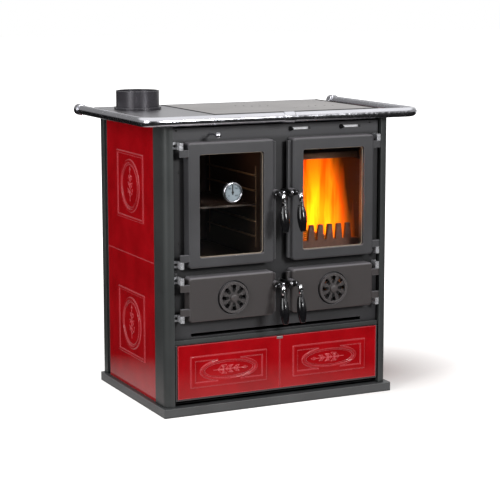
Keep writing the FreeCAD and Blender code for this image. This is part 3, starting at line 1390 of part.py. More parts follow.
def make_log_guard():
    """An upright bar with tapered teeth that keeps the logs off the glass."""
    body = new_body("log_guard")
    left, right = chamber()
    level = s.guard_front - s.guard_thick
    foot = s.grate_z + s.guard_bar
    bar = sketch(body, "XZ_Plane", level)
    rectangle(bar, (left, right), (s.grate_z, foot))
    pad(body, bar, s.guard_thick)
    first_x = left + s.tooth_in
    tooth = sketch(body, "XZ_Plane", level)
    outline(tooth,
            (first_x - s.tooth_foot / 2, foot - s.tooth_root),
            (first_x + s.tooth_foot / 2, foot - s.tooth_root),
            (first_x + s.tooth_tip / 2, foot + s.tooth_high),
            (first_x - s.tooth_tip / 2, foot + s.tooth_high))
    first = pad(body, tooth, s.guard_thick)
    pattern = body.newObject("PartDesign::LinearPattern", "guard_teeth")
    pattern.Originals = [first]
    pattern.Direction = (tooth, ["H_Axis"])
    tie(pattern, Length=s.tooth_pitch * (s.tooth_count - 1), Occurrences=s.tooth_count)
    body.Tip = pattern
    return keep(body, "log_guard")


def make_ash_pan():
    """A steel pan on the firebox's floor, with a tab to pull it by."""
    low = s.fire_floor + s.oven_wall + s.seat_gap
    wall = s.pan_wall
    outer = box("pan_outer", (pan_left, pan_right), (-s.pan_front, s.pan_rear),
                (low, low + s.pan_high))
    inner = box("pan_inner", (pan_left + wall, pan_right - wall),
                (-s.pan_front + wall, s.pan_rear - wall), (low + wall, low + s.pan_high))
    middle = (pan_left + pan_right) / 2
    tab = box("pan_tab_plate", (middle - s.pan_tab_half, middle + s.pan_tab_half),
              (-s.pan_front - s.pan_tab, -s.pan_front),
              (low + s.pan_high - wall, low + s.pan_high))
    return keep(fuse("ash_pan", cut("pan_tray", outer, inner), tab), "ash_pan")


# ---------------------------------------------------------------- wood drawer
def make_drawer_front():
    """The cast front of the wood drawer, with a rim on three sides of its tiles."""
    body = new_body("drawer_front")
    seat = s.drawer_face - s.tile_thick
    plate = sketch(body, "XZ_Plane", s.drawer_back)
    rectangle(plate, (-drawer_half, drawer_half), (s.drawer_low, s.drawer_high))
    pad(body, plate, seat - s.drawer_back)
    rim = sketch(body, "XZ_Plane", seat)
    inner = drawer_half - s.drawer_rim
    outline(rim,
            (-drawer_half, s.drawer_low),
            (drawer_half, s.drawer_low),
            (drawer_half, s.drawer_high),
            (inner, s.drawer_high),
            (inner, s.drawer_low + s.drawer_rim),
            (-inner, s.drawer_low + s.drawer_rim),
            (-inner, s.drawer_high),
            (-drawer_half, s.drawer_high))
    pad(body, rim, s.tile_thick - s.drawer_rim_back)
    return keep(body, "drawer_front")


def make_drawer_tile(name, side):
    """A glazed tile with a framing moulding and an oval one."""
    body = new_body(name)
    seat = s.drawer_face - s.tile_thick
    far = drawer_half - s.drawer_rim - s.tile_gap
    slab = sketch(body, "XZ_Plane", seat)
    rectangle(slab, across(side, s.drawer_seam / 2, far),
              (s.drawer_low + s.drawer_rim + s.tile_gap, s.drawer_high - s.tile_gap))
    pad(body, slab, s.tile_thick)
    frame = sketch(body, "XZ_Plane", seat)
    for inset in (zero, s.panel_bead):
        rectangle(frame, across(side, s.panel_in + inset, panel_out - inset),
                  (s.panel_low + inset, s.panel_high - inset))
    pad(body, frame, s.tile_thick + s.panel_rise)
    middle = ((s.panel_in + panel_out) / 2 * side, (s.panel_low + s.panel_high) / 2)
    oval = sketch(body, "XZ_Plane", seat)
    for inset in (zero, s.small_band):
        ellipse(oval, middle, s.small_oval_width / 2 - inset, s.small_oval_height / 2 - inset)
    pad(body, oval, s.tile_thick + s.panel_rise)
    face = -float(s.drawer_face + s.panel_rise)
    dress(body, "Fillet", s.panel_edge,
          lambda edge: near(edge.BoundBox.YMin, face) and near(edge.BoundBox.YMax, face))
    return body


def make_drawer_tiles():
    tiles = [make_drawer_tile(f"drawer_tile_{name}", side) for name, side in SIDES]
    return keep(group("drawer_tiles", tiles), "drawer_tiles")


def make_drawer_box():
    """A sheet steel box with a slide along each side."""
    wall = s.box_wall
    depth = (-s.drawer_back, s.box_rear)
    outer = box("box_outer", (-box_half, box_half), depth, (s.box_low, s.box_high))
    inner = box("box_inner", (-box_half + wall, box_half - wall),
                (depth[0] + wall, depth[1] - wall), (s.box_low + wall, s.box_high))
    pieces = [cut("box_tray", outer, inner)]
    low = s.runner_high + s.seat_gap
    for name, side in SIDES:
        pieces.append(box(f"slide_{name}", across(side, box_half - wall, box_half + s.slide_wing),
                          (-s.bar_back, s.box_rear), (low, low + s.slide_wing_thick)))
    return keep(fuse("drawer_box", *pieces), "drawer_box")


# ---------------------------------------------------------------- thermometer
def make_thermometer():
    """A case on the oven's glass, its stem through the glass, and the needle."""
    seat = -plate_back
    face = seat - s.dial_thick
    floor = face + s.dial_deep
    x, z = -s.dial_x, s.dial_z
    case = cylinder("dial_case", (x, face, z), s.dial_radius, s.dial_thick, TURN_TO_Y)
    stem = cylinder("dial_stem", (x, seat, z), s.dial_stem, s.dial_stem_long, TURN_TO_Y)
    recess = cylinder("dial_recess", (x, face, z), s.dial_radius - s.dial_rim, s.dial_deep, TURN_TO_Y)
    bore = cylinder("dial_bore", (x, floor, z), s.needle_pin + s.pin_fit,
                    s.needle_pin_long + s.pin_fit, TURN_TO_Y)
    keep(cut("thermometer_case", fuse("dial_solid", case, stem), fuse("dial_hollow", recess, bore)),
         "thermometer_case")
    back = floor - s.seat_gap
    blade = box("needle_blade", (x - s.needle_wide / 2, x + s.needle_wide / 2),
                (back - s.needle_thick, back), (z - s.needle_hub * 2, z + s.needle_long))
    hub = cylinder("needle_disc", (x, back - s.needle_thick * 2, z), s.needle_hub,
                   s.needle_thick * 2, TURN_TO_Y)
    arbor = cylinder("needle_arbor", (x, back, z), s.needle_pin,
                     s.seat_gap + s.needle_pin_long, TURN_TO_Y)
    return keep(fuse("thermometer_needle", blade, hub, arbor), "thermometer_needle")


# ---------------------------------------------------------------- assembly
make_plinth()
make_base_plate()
for name, side in SIDES:
    make_front_post(f"post_front_{name}", side)
    make_rear_post(f"post_rear_{name}", side)
make_side_sheets()
make_back_panel()
make_side_tiles()
make_worktop()
make_hotplate()
make_hotplate_lid()
make_flue_collar()
make_rail()
make_rail_fittings()
make_facade()
make_drawer_bar()
for level, low, high, latch_z, window in DOORS:
    for name, side in SIDES:
        make_door(f"door_{level}_{name}", side, low, high, latch_z, window)
        make_latch(f"latch_{level}_{name}", side, latch_z)
        make_grip(f"grip_{level}_{name}", side, latch_z)
        if window:
            make_glass(f"glass_{name}", side)
            make_glass_clips(f"glass_clips_{name}", side)
            make_door_rope(f"door_rope_{name}", side, low, high)
        else:
            make_register(f"air_register_{name}", side)
make_hinge_brackets()
make_keepers()
make_air_slider("air_slider_left", s.slot_one)
make_air_slider("air_slider_right", second_slot)
make_damper()
make_oven_box()
make_oven_ladders()
make_oven_tray()
make_firebox()
make_fire_bricks()
make_smoke_baffle()
make_fire_grate()
make_log_guard()
make_ash_pan()
make_drawer_front()
make_drawer_tiles()
make_drawer_box()
make_thermometer()

doc.recompute()

failed = [thing.Label for thing in doc.Objects if {"Invalid", "Error"} & set(thing.State)]
if failed:
    raise RuntimeError("these objects failed: " + ", ".join(failed))
for piece in parts:
    if piece.Shape.isNull() or not piece.Shape.isValid() or not piece.Shape.Solids:
        raise RuntimeError("this sub-part has no good shape: " + piece.Label)

os.makedirs("parts", exist_ok=True)
for piece in parts:
    piece.Shape.exportStep(os.path.join("parts", piece.Label + ".step"))
print(len(parts), "sub-parts written")
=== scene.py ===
# %% [markdown]
# # A cast iron range cooker, dressed around its construction
#
# This lesson takes a cooker that is already built as a set of exact parts, and gives it its looks:
# glazed tiles, painted castings, brushed steel and chrome, and the small fittings that construction
# leaves out. The finishes come first, then the fittings, and last the studio. Every length is in
# metres. The front of the cooker faces -Y and +Z is up.

# %% The frame
import json
import math

import bpy
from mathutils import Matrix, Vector


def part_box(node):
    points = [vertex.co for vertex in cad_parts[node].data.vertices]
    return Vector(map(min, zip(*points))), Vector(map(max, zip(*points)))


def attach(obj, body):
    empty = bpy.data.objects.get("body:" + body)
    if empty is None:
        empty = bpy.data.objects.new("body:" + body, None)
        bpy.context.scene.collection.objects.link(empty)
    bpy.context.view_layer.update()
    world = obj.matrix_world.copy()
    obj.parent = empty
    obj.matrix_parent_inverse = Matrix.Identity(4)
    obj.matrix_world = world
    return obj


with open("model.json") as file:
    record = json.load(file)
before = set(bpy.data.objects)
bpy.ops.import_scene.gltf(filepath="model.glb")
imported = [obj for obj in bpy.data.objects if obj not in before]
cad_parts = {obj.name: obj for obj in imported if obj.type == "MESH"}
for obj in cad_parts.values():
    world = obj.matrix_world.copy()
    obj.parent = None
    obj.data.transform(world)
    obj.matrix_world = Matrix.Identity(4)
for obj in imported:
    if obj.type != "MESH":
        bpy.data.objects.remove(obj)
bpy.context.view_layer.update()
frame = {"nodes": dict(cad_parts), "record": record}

SIDES = {"left": -1, "right": 1}

# %% [markdown]
# ## Nodes in one line
#
# A finish is a small graph of shader nodes. Writing each node in one call keeps a finish readable:
# `grow` adds a node, sets its options, and feeds each input from a plain value or another node.


# %% Helpers for node graphs
def grow(owner, kind, sockets=None, **options):
    made = owner.node_tree.nodes.new("ShaderNode" + kind)
    for option, value in options.items():
        setattr(made, option, value)
    for socket, value in (sockets or {}).items():
        if isinstance(value, bpy.types.NodeSocket):
            owner.node_tree.links.new(value, made.inputs[socket])
        else:
            made.inputs[socket].default_value = value
    return made


def start_finish(name, colour, roughness, metallic=0.0):
    """A new finish whose uniform values stand on the shader itself."""
    finish = bpy.data.materials.new(name)
    finish.use_nodes = True
    shader = finish.node_tree.nodes["Principled BSDF"]
    shader.inputs["Base Color"].default_value = (*colour, 1)
    shader.inputs["Roughness"].default_value = roughness
    shader.inputs["Metallic"].default_value = metallic
    place = grow(finish, "TexCoord").outputs["Object"]
    return finish, shader, place


def feed(finish, socket, shader, name):
    finish.node_tree.links.new(socket, shader.inputs[name])


def reckon(owner, operation, *values):
    """One step of arithmetic on plain values or sockets."""
    return grow(owner, "Math", dict(enumerate(values)), operation=operation).outputs["Value"]


def axis_of(owner, place, axis):
    return grow(owner, "SeparateXYZ", {"Vector": place}).outputs[axis]


def away_from(owner, place, point):
    """How far a place is from a point."""
    return grow(owner, "VectorMath", {0: place, 1: point}, operation="DISTANCE").outputs["Value"]


# %% [markdown]
# ## Grain, tone, lighter edges and painted shade
#
# Three things make a painted casting look real: a fine grain that breaks the highlight, a slow
# change of tone over the surface, and lighter edges, partly where paint has thinned and partly a
# painted highlight. The grain and tone come from noise. The edges come from a Bevel node: where its
# rounded normal leaves the true normal, there is an edge. Painted shade in the corners comes from
# how much open sky a place sees.


# %% Helpers for grain, tone and edges
def noise(finish, place, scale, detail=3, stretch=(1, 1, 1)):
    where = grow(finish, "Mapping", {"Vector": place, "Scale": stretch}).outputs["Vector"]
    sockets = {"Vector": where, "Scale": scale, "Detail": detail}
    return grow(finish, "TexNoise", sockets).outputs["Fac"]


def spread(owner, value, low, high, to_low=0.0, to_high=1.0):
    """A value between low and high spread over a new range, and held at its ends."""
    sockets = {"Value": value, "From Min": low, "From Max": high,
               "To Min": to_low, "To Max": to_high}
    return grow(owner, "MapRange", sockets).outputs["Result"]


def blend(finish, share, one, other):
    """From colour one to colour other, each a colour or a socket."""
    made = grow(finish, "Mix", data_type="RGBA")
    colour_sockets = [s for s in made.inputs if s.type == "RGBA"]
    finish.node_tree.links.new(share, made.inputs["Factor"])
    for socket, colour in zip(colour_sockets, (one, other)):
        if isinstance(colour, bpy.types.NodeSocket):
            finish.node_tree.links.new(colour, socket)
        else:
            socket.default_value = (*colour, 1)
    return next(s for s in made.outputs if s.type == "RGBA")


def scaled(colour, factor):
    return tuple(channel * factor for channel in colour)


def edges(finish, radius, flat=0.98, sharp=0.72):
    """1 on edges of about that radius and 0 on flat stretches.

    The two normals agree by the cosine flat where an edge starts, and by sharp where it is full.
    """
    rounded = grow(finish, "Bevel", {"Radius": radius}, samples=4).outputs["Normal"]
    true = grow(finish, "NewGeometry").outputs["Normal"]
    same = grow(finish, "VectorMath", {0: rounded, 1: true}, operation="DOT_PRODUCT")
    return spread(finish, same.outputs["Value"], flat, sharp)


CLOSED_SKY, OPEN_SKY = 0.35, 0.85


def painted_recess_shade(finish, reach):
    """A mask for painted shade: 0 deep in a corner or groove and 1 in the open, looking about that
    far.
    """
    sky = grow(finish, "AmbientOcclusion", {"Distance": reach}, samples=6).outputs["AO"]
    return spread(finish, sky, CLOSED_SKY, OPEN_SKY)


WIDE_ROUNDING = 0.002


def relief(finish, shader, height, distance, strength, edge_radius):
    """Bump from a height, on normals rounded at the edges. A wide rounding takes more samples."""
    samples = 12 if edge_radius > WIDE_ROUNDING else 4
    rounded = grow(finish, "Bevel", {"Radius": edge_radius}, samples=samples).outputs["Normal"]
    sockets = {"Height": height, "Distance": distance, "Strength": strength, "Normal": rounded}
    feed(finish, grow(finish, "Bump", sockets).outputs["Normal"], shader, "Normal")


# %% [markdown]
# ## Painted castings
#
# The facade, doors and frame are sand castings under heat-proof paint. One function makes them all:
# what differs is the paint's colour, how matt it is and how light its edges are, partly from wear
# and partly as a painted highlight. The castings are a little warmer low down, where the ash and
# soot doors are, and carry a painted highlight where they look up. All of them carry painted shade
# in their corners and grooves. The facade is painted darker than the doors, with painted light on
# the strip above its doors and painted shade round them, where little light reaches it.


# %% Cast and painted iron
WARM_SPAN = (0.44, 0.40)       # heights where the warm tone starts and is full
STRIP_SPAN = (0.790, 0.800)    # heights where the painted light on the strip above the doors starts and is full
UPWARD_SPAN = (0.22, 0.80)     # how far a face looks up where its painted highlight starts and is full
SAND_SCALE, SAND_DEPTH = 900, 0.00022
# Lighter edges are partly paint worn thin and partly a painted highlight.
WORN_AND_LIT_RADIUS, CAST_RADIUS = 0.0030, 0.0018


def painted_casting(name, colour, roughness, edge_colour, warm=None, top=None,
                    reach=0.010, metallic=0.0, painted_top_light=None):
    finish, shader, place = start_finish(name, colour, roughness, metallic)
    slow = noise(finish, place, 7, detail=4)
    sand = noise(finish, place, SAND_SCALE, detail=2)
    dark, light = scaled(colour, 0.84), scaled(colour, 1.16)
    body = blend(finish, spread(finish, slow, 0.3, 0.7), dark, light)
    if warm:
        low_down = spread(finish, axis_of(finish, place, "Z"), *WARM_SPAN)
        body = blend(finish, low_down, body, warm)
    # Edges take a lighter colour: partly wear, partly a painted highlight.
    body = blend(finish, edges(finish, WORN_AND_LIT_RADIUS), body, edge_colour)
    # Painted shade: corners and grooves darken towards an eighth of the paint's colour.
    body = blend(finish, painted_recess_shade(finish, reach), scaled(colour, 0.12), body)
    # Painted highlight: faces that look up take a lighter colour, as if lit from above.
    if painted_top_light:
        facing = axis_of(finish, grow(finish, "NewGeometry").outputs["Normal"], "Z")
        body = blend(finish, spread(finish, facing, *UPWARD_SPAN), body, painted_top_light)
    # Painted light: the strip above the doors takes a lighter colour, in place of the light the
    # worktop keeps off it.
    if top:
        high_up = spread(finish, axis_of(finish, place, "Z"), *STRIP_SPAN)
        body = blend(finish, high_up, body, top)
    feed(finish, body, shader, "Base Color")
    matt = spread(finish, sand, 0.3, 0.7, roughness - 0.06, roughness + 0.08)
    feed(finish, matt, shader, "Roughness")
    relief(finish, shader, sand, SAND_DEPTH, 0.7, edge_radius=CAST_RADIUS)
    return finish


IRON, WARM_IRON, GREEN_IRON = (0.050, 0.050, 0.054), (0.052, 0.046, 0.046), (0.040, 0.044, 0.044)
finishes = {
    "cast_grey": painted_casting("cast_grey", IRON, 0.44, (0.17, 0.17, 0.18), warm=WARM_IRON,
                                 painted_top_light=(0.21, 0.20, 0.215)),
    # The facade is painted darker than the doors and reaches far for its painted shade, so it is
    # dark round the doors. Its top strip carries painted light.
    "facade_paint": painted_casting("facade_paint", scaled(IRON, 0.72), 0.44, (0.10, 0.10, 0.11),
                                    top=scaled(IRON, 1.25), reach=0.045),
    "post_paint": painted_casting("post_paint", GREEN_IRON, 0.40, (0.10, 0.11, 0.11)),
    "plinth_paint": painted_casting("plinth_paint", (0.070, 0.073, 0.075), 0.42,
                                    (0.20, 0.21, 0.21)),
    "sheet_black": painted_casting("sheet_black", (0.012, 0.012, 0.013), 0.55,
                                   (0.03, 0.03, 0.03)),
    "oven_enamel": painted_casting("oven_enamel", (0.020, 0.010, 0.006), 0.5,
                                   (0.05, 0.028, 0.018)),
    "collar_paint": painted_casting("collar_paint", (0.055, 0.052, 0.060), 0.27,
                                    (0.2, 0.2, 0.22), metallic=0.35),
}
print("castings:", ", ".join(finishes))

# %% [markdown]
# ## Glazed tiles
#
# A glaze is glass over clay. It pools in the hollows, where it is deep red, and runs thin over the
# mouldings, where the pale clay shows through. An edge mask draws those pale lines, which are partly
# thin glaze and partly a painted highlight. A soft, wide bump makes the reflections swim a little,
# as they do on every hand-glazed tile.


# %% Red glaze
def glazed_tile():
    deep, pooled, lean, thin_glaze_and_highlight = ((0.36, 0.0022, 0.0055), (0.30, 0.0015, 0.004),
                                      (0.40, 0.003, 0.007), (0.72, 0.11, 0.13))
    finish, shader, place = start_finish("red_glaze", deep, 0.1)
    flow = noise(finish, place, 14)
    peel = noise(finish, place, 160, detail=2)
    body = blend(finish, spread(finish, flow, 0.3, 0.7), pooled, lean)
    # Pale edges: partly glaze run thin over the mouldings, partly a painted highlight.
    thin_and_lit = edges(finish, 0.0036, flat=0.996, sharp=0.90)
    feed(finish, blend(finish, thin_and_lit, body, thin_glaze_and_highlight), shader, "Base Color")
    shader.inputs["IOR"].default_value = 1.45
    relief(finish, shader, peel, 0.00010, 0.5, edge_radius=0.0016)
    return finish


finishes["red_glaze"] = glazed_tile()
print("glaze:", finishes["red_glaze"].name)

# %% [markdown]
# ## Chrome and steel
#
# Rolled steel is full of fine lines along one direction. Noise that is stretched along X gives them,
# and drives both the roughness and a very low bump. Chrome and zinc are the same without the
# stretch. The towel rail is a bent tube, so chrome gets a wide rounding of its normals, which keeps
# the bands along it smooth.


# %% Steel, zinc and chrome
def brushed_steel(name, colour, roughness, stretch=(1, 1, 1), depth=0.00008, edge_radius=0.0006,
                  metallic=1.0):
    finish, shader, place = start_finish(name, colour, roughness, metallic)
    lines = noise(finish, place, 90, detail=4, stretch=stretch)
    slow = noise(finish, place, 5)
    body = blend(finish, spread(finish, slow, 0.35, 0.65), scaled(colour, 0.86), colour)
    feed(finish, body, shader, "Base Color")
    painted_glow = spread(finish, lines, 0.3, 0.7, roughness - 0.07, roughness + 0.1)
    feed(finish, painted_glow, shader, "Roughness")
    relief(finish, shader, lines, depth, 0.5, edge_radius=edge_radius)
    return finish


finishes["plate_steel"] = brushed_steel("plate_steel", (0.45, 0.43, 0.425), 0.40, (0.25, 6, 1))
finishes["worktop_steel"] = brushed_steel("worktop_steel", (0.375, 0.37, 0.39), 0.36, (0.25, 8, 1))
finishes["bright_zinc"] = brushed_steel("bright_zinc", (0.72, 0.73, 0.76), 0.26, depth=0.00003,
                                        metallic=0.6)
finishes["chrome"] = brushed_steel("chrome", (0.78, 0.78, 0.83), 0.19, depth=0.00001,
                                   edge_radius=0.005)
print("metals: plate_steel, worktop_steel, bright_zinc, chrome")

# %% [markdown]
# ## Finishes of one colour
#
# The turned grips, the beads of the windows, the ropes that seal the doors and the plates inside
# the fire are each of one colour that a grain darkens in places. One function makes them, from
# their colour, how matt they are, and how large and deep the grain is.


# %% Grips, beads, ropes, baffle, guard and ladders
def plain_finish(name, colour, roughness, scale, depth, metallic=0.0):
    finish, shader, place = start_finish(name, colour, roughness, metallic)
    grain = noise(finish, place, scale, detail=4)
    tones = blend(finish, spread(finish, grain, 0.3, 0.7), scaled(colour, 0.7), colour)
    feed(finish, tones, shader, "Base Color")
    relief(finish, shader, grain, depth, 0.6, edge_radius=0.0008)
    return finish


finishes["grip_black"] = plain_finish("grip_black", (0.007, 0.007, 0.008), 0.14, 60, 0.00003)
finishes["bead_cream"] = plain_finish("bead_cream", (0.46, 0.38, 0.29), 0.5, 300, 0.0001)
finishes["rope_grey"] = plain_finish("rope_grey", (0.20, 0.19, 0.18), 0.9, 500, 0.0006)
finishes["baffle_brown"] = plain_finish("baffle_brown", (0.13, 0.062, 0.032), 0.8, 90, 0.0004)
finishes["guard_brown"] = plain_finish("guard_brown", (0.085, 0.030, 0.017), 0.7, 90, 0.0004)
finishes["ladder_bright"] = plain_finish("ladder_bright", (0.20, 0.13, 0.08), 0.4, 90, 0.00002,
                                         metallic=0.2)
print("finishes so far:", len(finishes))

# %% [markdown]
# ## Fire bricks
#
# The bricks are black towards the door, and clean and streaked at the back. The line between them
# leans back as it rises, and it is ragged: depth, height and a noise drawn out upwards are added up,
# and the sum is spread over a short span.


# %% Fire bricks, black towards the door
BLACK_LEAN, BLACK_RAGGED, BLACK_SPAN = -0.40, 0.16, (-0.300, -0.205)


def brick_black_towards_door():
    """Clean and streaked at the back, and black towards the door."""
    clean, streak, soot = (0.80, 0.40, 0.06), (0.60, 0.15, 0.015), (0.008, 0.003, 0.002)
    finish, shader, place = start_finish("fire_brick", clean, 0.85)
    lick = noise(finish, place, 17, stretch=(1, 1, 0.22))
    grain = noise(finish, place, 120, detail=4)
    tone = blend(finish, spread(finish, lick, 0.42, 0.60), clean, streak)
    leaning = reckon(finish, "MULTIPLY", axis_of(finish, place, "Z"), BLACK_LEAN)
    ragged = reckon(finish, "MULTIPLY", lick, BLACK_RAGGED)
    depth = reckon(finish, "ADD", axis_of(finish, place, "Y"), leaning)
    edge = reckon(finish, "ADD", depth, ragged)
    # The colour turns black ahead of the leaning, ragged line, towards the door.
    feed(finish, blend(finish, spread(finish, edge, *BLACK_SPAN), soot, tone), shader, "Base Color")
    relief(finish, shader, grain, 0.0006, 0.6, edge_radius=0.0008)
    return finish


finishes["fire_brick"] = brick_black_towards_door()
print("bricks are black ahead of the line and clean behind it:", BLACK_SPAN)

# %% [markdown]
# ## The thermometer's face
#
# The case of the oven's thermometer is one turned piece. Its face is pale blue, and a dark ring
# round the face is painted shade in the groove under the bezel, so the finish changes with the
# distance from the dial's middle, measured flat along X and Z.

# %% Dial face with a painted ring of shade
DIAL = Vector((-0.160, -0.2625, 0.643))
FACE_SPAN = (0.0232, 0.0246)


def dial_face():
    face, groove_shade = (0.30, 0.36, 0.40), (0.05, 0.055, 0.06)
    finish, shader, place = start_finish("dial_white", face, 0.35)
    flat = grow(finish, "Mapping", {"Vector": place, "Scale": (1, 0, 1)}).outputs["Vector"]
    out = away_from(finish, flat, (DIAL.x, 0, DIAL.z))
    cloud = spread(finish, noise(finish, place, 60), 0.3, 0.7)
    tones = blend(finish, cloud, scaled(face, 0.85), face)
    # Beyond the face the colour turns to the dark ring of painted shade under the bezel.
    feed(finish, blend(finish, spread(finish, out, *FACE_SPAN), tones, groove_shade), shader, "Base Color")
    relief(finish, shader, cloud, 0.00001, 0.3, edge_radius=0.0006)
    return finish


finishes["dial_white"] = dial_face()
print("dial:", tuple(round(value, 4) for value in DIAL))

# %% [markdown]
# ## Door glass
#
# The windows are heat-proof glass with a faint haze. Light that has to pass glass twice costs a
# renderer many samples, so the rays that only ask whether a lamp is hidden see a clear sheet.


# %% Clear glass
def door_glass():
    finish, shader, place = start_finish("clear_glass", (0.96, 0.95, 0.93), 0.0)
    shader.inputs["IOR"].default_value = 1.45
    shader.inputs["Transmission Weight"].default_value = 1.0
    haze = noise(finish, place, 9, detail=4)
    feed(finish, spread(finish, haze, 0.45, 0.75, 0.0, 0.02), shader, "Roughness")
    clear = grow(finish, "BsdfTransparent", {"Color": (0.92, 0.90, 0.87, 1)}).outputs["BSDF"]
    lamp_ray = grow(finish, "LightPath").outputs["Is Shadow Ray"]
    both = grow(finish, "MixShader", {0: lamp_ray, 1: shader.outputs["BSDF"], 2: clear})
    feed(finish, both.outputs["Shader"], finish.node_tree.nodes["Material Output"], "Surface")
    return finish


finishes["clear_glass"] = door_glass()
print("glass:", finishes["clear_glass"].name)

# %% [markdown]
# ## One piece, two finishes
#
# A latch is one forging: bright where the hand meets it and blackened where it works against the
# facade, and the keeper studs beside it are the same. An air slider is the other way round: a black
# knob in front of a bright shutter. A finish that changes over with depth does all three, so the
# parts stay whole. The shutter looks out of a dark slot, so it gets a little painted glow of its
# own: an emission in place of the light that does not reach it.


# %% Finishes that change with depth
def two_finishes(name, front, back, change, metallic, roughness, painted_glow=0.0):
    """Colour front ahead of the depth and colour back behind it, each with its own metal and
    roughness; the back may also get a painted glow.
    """
    finish, shader, place = start_finish(name, front, roughness[0], metallic[0])
    behind = spread(finish, axis_of(finish, place, "Y"), change - 0.0004, change + 0.0004)
    wear = spread(finish, noise(finish, place, 120), 0.35, 0.65)
    tones = [blend(finish, wear, scaled(tone, 0.75), tone) for tone in (front, back)]
    feed(finish, blend(finish, behind, *tones), shader, "Base Color")
    feed(finish, spread(finish, behind, 0, 1, *metallic), shader, "Metallic")
    feed(finish, spread(finish, behind, 0, 1, *roughness), shader, "Roughness")
    # Painted glow: the back colour shines as emission, a light the part does not give.
    if painted_glow:
        shader.inputs["Emission Strength"].default_value = painted_glow
        feed(finish, blend(finish, behind, (0, 0, 0), back), shader, "Emission Color")
    relief(finish, shader, wear, 0.00001, 0.4, edge_radius=0.0006)
    return finish


CHROME, BLACKED = (0.86, 0.86, 0.88), (0.016, 0.016, 0.017)
LATCH_CHANGE, KEEPER_CHANGE, SLIDER_CHANGE = -0.312, -0.290, -0.226
finishes["latch_metal"] = two_finishes("latch_metal", CHROME, BLACKED, LATCH_CHANGE,
                                       metallic=(1, 0.4), roughness=(0.1, 0.34))
finishes["keeper_metal"] = two_finishes("keeper_metal", CHROME, BLACKED, KEEPER_CHANGE,
                                        metallic=(1, 0.4), roughness=(0.14, 0.34))
finishes["slider_metal"] = two_finishes("slider_metal", BLACKED, CHROME, SLIDER_CHANGE,
                                        metallic=(0.4, 0.2), roughness=(0.3, 0.35), painted_glow=0.30)
print("changes with depth:", LATCH_CHANGE, KEEPER_CHANGE, SLIDER_CHANGE)

# %% [markdown]
# ## Air registers
#
# An air register is a round shutter whose ribs stand up between sunk pockets. The pockets are
# painted dark as shade, the corners take painted shade too, and the rib edges take a painted
# highlight. The pockets repeat round its middle, so the finish works in turns: the angle round the
# middle, times their number, goes through a cosine, and a ring keeps the pockets off the hub and the
# rim.

# %% Registers with sunk pockets between their spokes
REGISTER_X, REGISTER_Z, POCKETS = 0.163, 0.340, 8
POCKET_INNER, POCKET_OUTER = (0.0150, 0.0165), (0.0375, 0.0360)
POCKET_SIDES, POCKET_DEPTH, POCKET_SAND = (-0.35, 0.05), 0.0022, 0.08


def register_paint(side_name, side):
    """Eight pockets, sunk and painted dark as shade, in the face of an air register, whose rib edges
    carry a painted highlight.
    """
    finish, shader, place = start_finish(f"register_paint_{side_name}", WARM_IRON, 0.42)
    across = reckon(finish, "SUBTRACT", axis_of(finish, place, "X"), REGISTER_X * side)
    up = reckon(finish, "SUBTRACT", axis_of(finish, place, "Z"), REGISTER_Z)
    squares = [reckon(finish, "MULTIPLY", length, length) for length in (across, up)]
    out = reckon(finish, "SQRT", reckon(finish, "ADD", *squares))
    turn = reckon(finish, "MULTIPLY", reckon(finish, "ARCTAN2", across, up), POCKETS)
    between = spread(finish, reckon(finish, "COSINE", turn), *POCKET_SIDES)
    ring = reckon(finish, "MULTIPLY", spread(finish, out, *POCKET_INNER),
                  spread(finish, out, *POCKET_OUTER))
    pocket = reckon(finish, "MULTIPLY", between, ring)
    sand = noise(finish, place, SAND_SCALE, detail=2)
    # Painted highlight: the rib edges are much lighter than the paint.
    body = blend(finish, edges(finish, 0.0016), scaled(WARM_IRON, 1.3), (0.30, 0.29, 0.30))
    # Painted shade in the corners and grooves.
    body = blend(finish, painted_recess_shade(finish, 0.006), scaled(WARM_IRON, 0.1), body)
    # The pockets are painted nearly black, as shade.
    feed(finish, blend(finish, pocket, body, scaled(WARM_IRON, 0.12)), shader, "Base Color")
    height = reckon(finish, "SUBTRACT", reckon(finish, "MULTIPLY", sand, POCKET_SAND), pocket)
    relief(finish, shader, height, POCKET_DEPTH, 0.9, edge_radius=0.0010)
    return finish


for side_name, side in SIDES.items():
    made = register_paint(side_name, side)
    finishes[made.name] = made
    print("register:", made.name)

# %% [markdown]
# ## Each part takes its finish
#
# The record names a material slot for every part, and most parts take the finish of that name. A
# few look different from their neighbours of the same material, so they get a finish of their own.

# %% Finishes onto the parts
special = {
    "flue_collar": "collar_paint", "smoke_baffle": "baffle_brown", "log_guard": "guard_brown",
    "thermometer_case": "dial_white", "facade": "facade_paint", "hinge_brackets": "bright_zinc",
    "keepers": "keeper_metal", "oven_ladders": "ladder_bright",
    "air_register_left": "register_paint_left", "air_register_right": "register_paint_right",
}
for name in frame["nodes"]:
    if name.startswith("latch_"):
        special[name] = "latch_metal"
    if name.startswith("air_slider"):
        special[name] = "slider_metal"
for part in frame["record"]["subparts"]:
    part_object = frame["nodes"][part["node"]]
    finish = finishes[special.get(part["node"], part["material_slot"])]
    for material_slot in part_object.material_slots:
        material_slot.material = finish
print("special finishes:", special)

# %% [markdown]
# ## A piece, finished and hung
#
# Each fitting below is modelled with ordinary operators. When it is done, its place goes into its
# mesh, it takes a finish, and it is hung on the body that carries it, so it moves with the doors.


# %% Helpers for the fittings
def clear_choice():
    bpy.ops.object.select_all(action="DESELECT")


def choose(*things):
    clear_choice()
    for thing in things:
        thing.select_set(True)
    bpy.context.view_layer.objects.active = things[0]


def settle(thing):
    """Turn and place go into the mesh, and the origin to the middle of the cooker's foot."""
    choose(thing)
    bpy.ops.object.transform_apply(location=True, rotation=True, scale=True)


def weld(*things):
    choose(*things)
    bpy.ops.object.join()
    settle(things[0])
    return things[0]


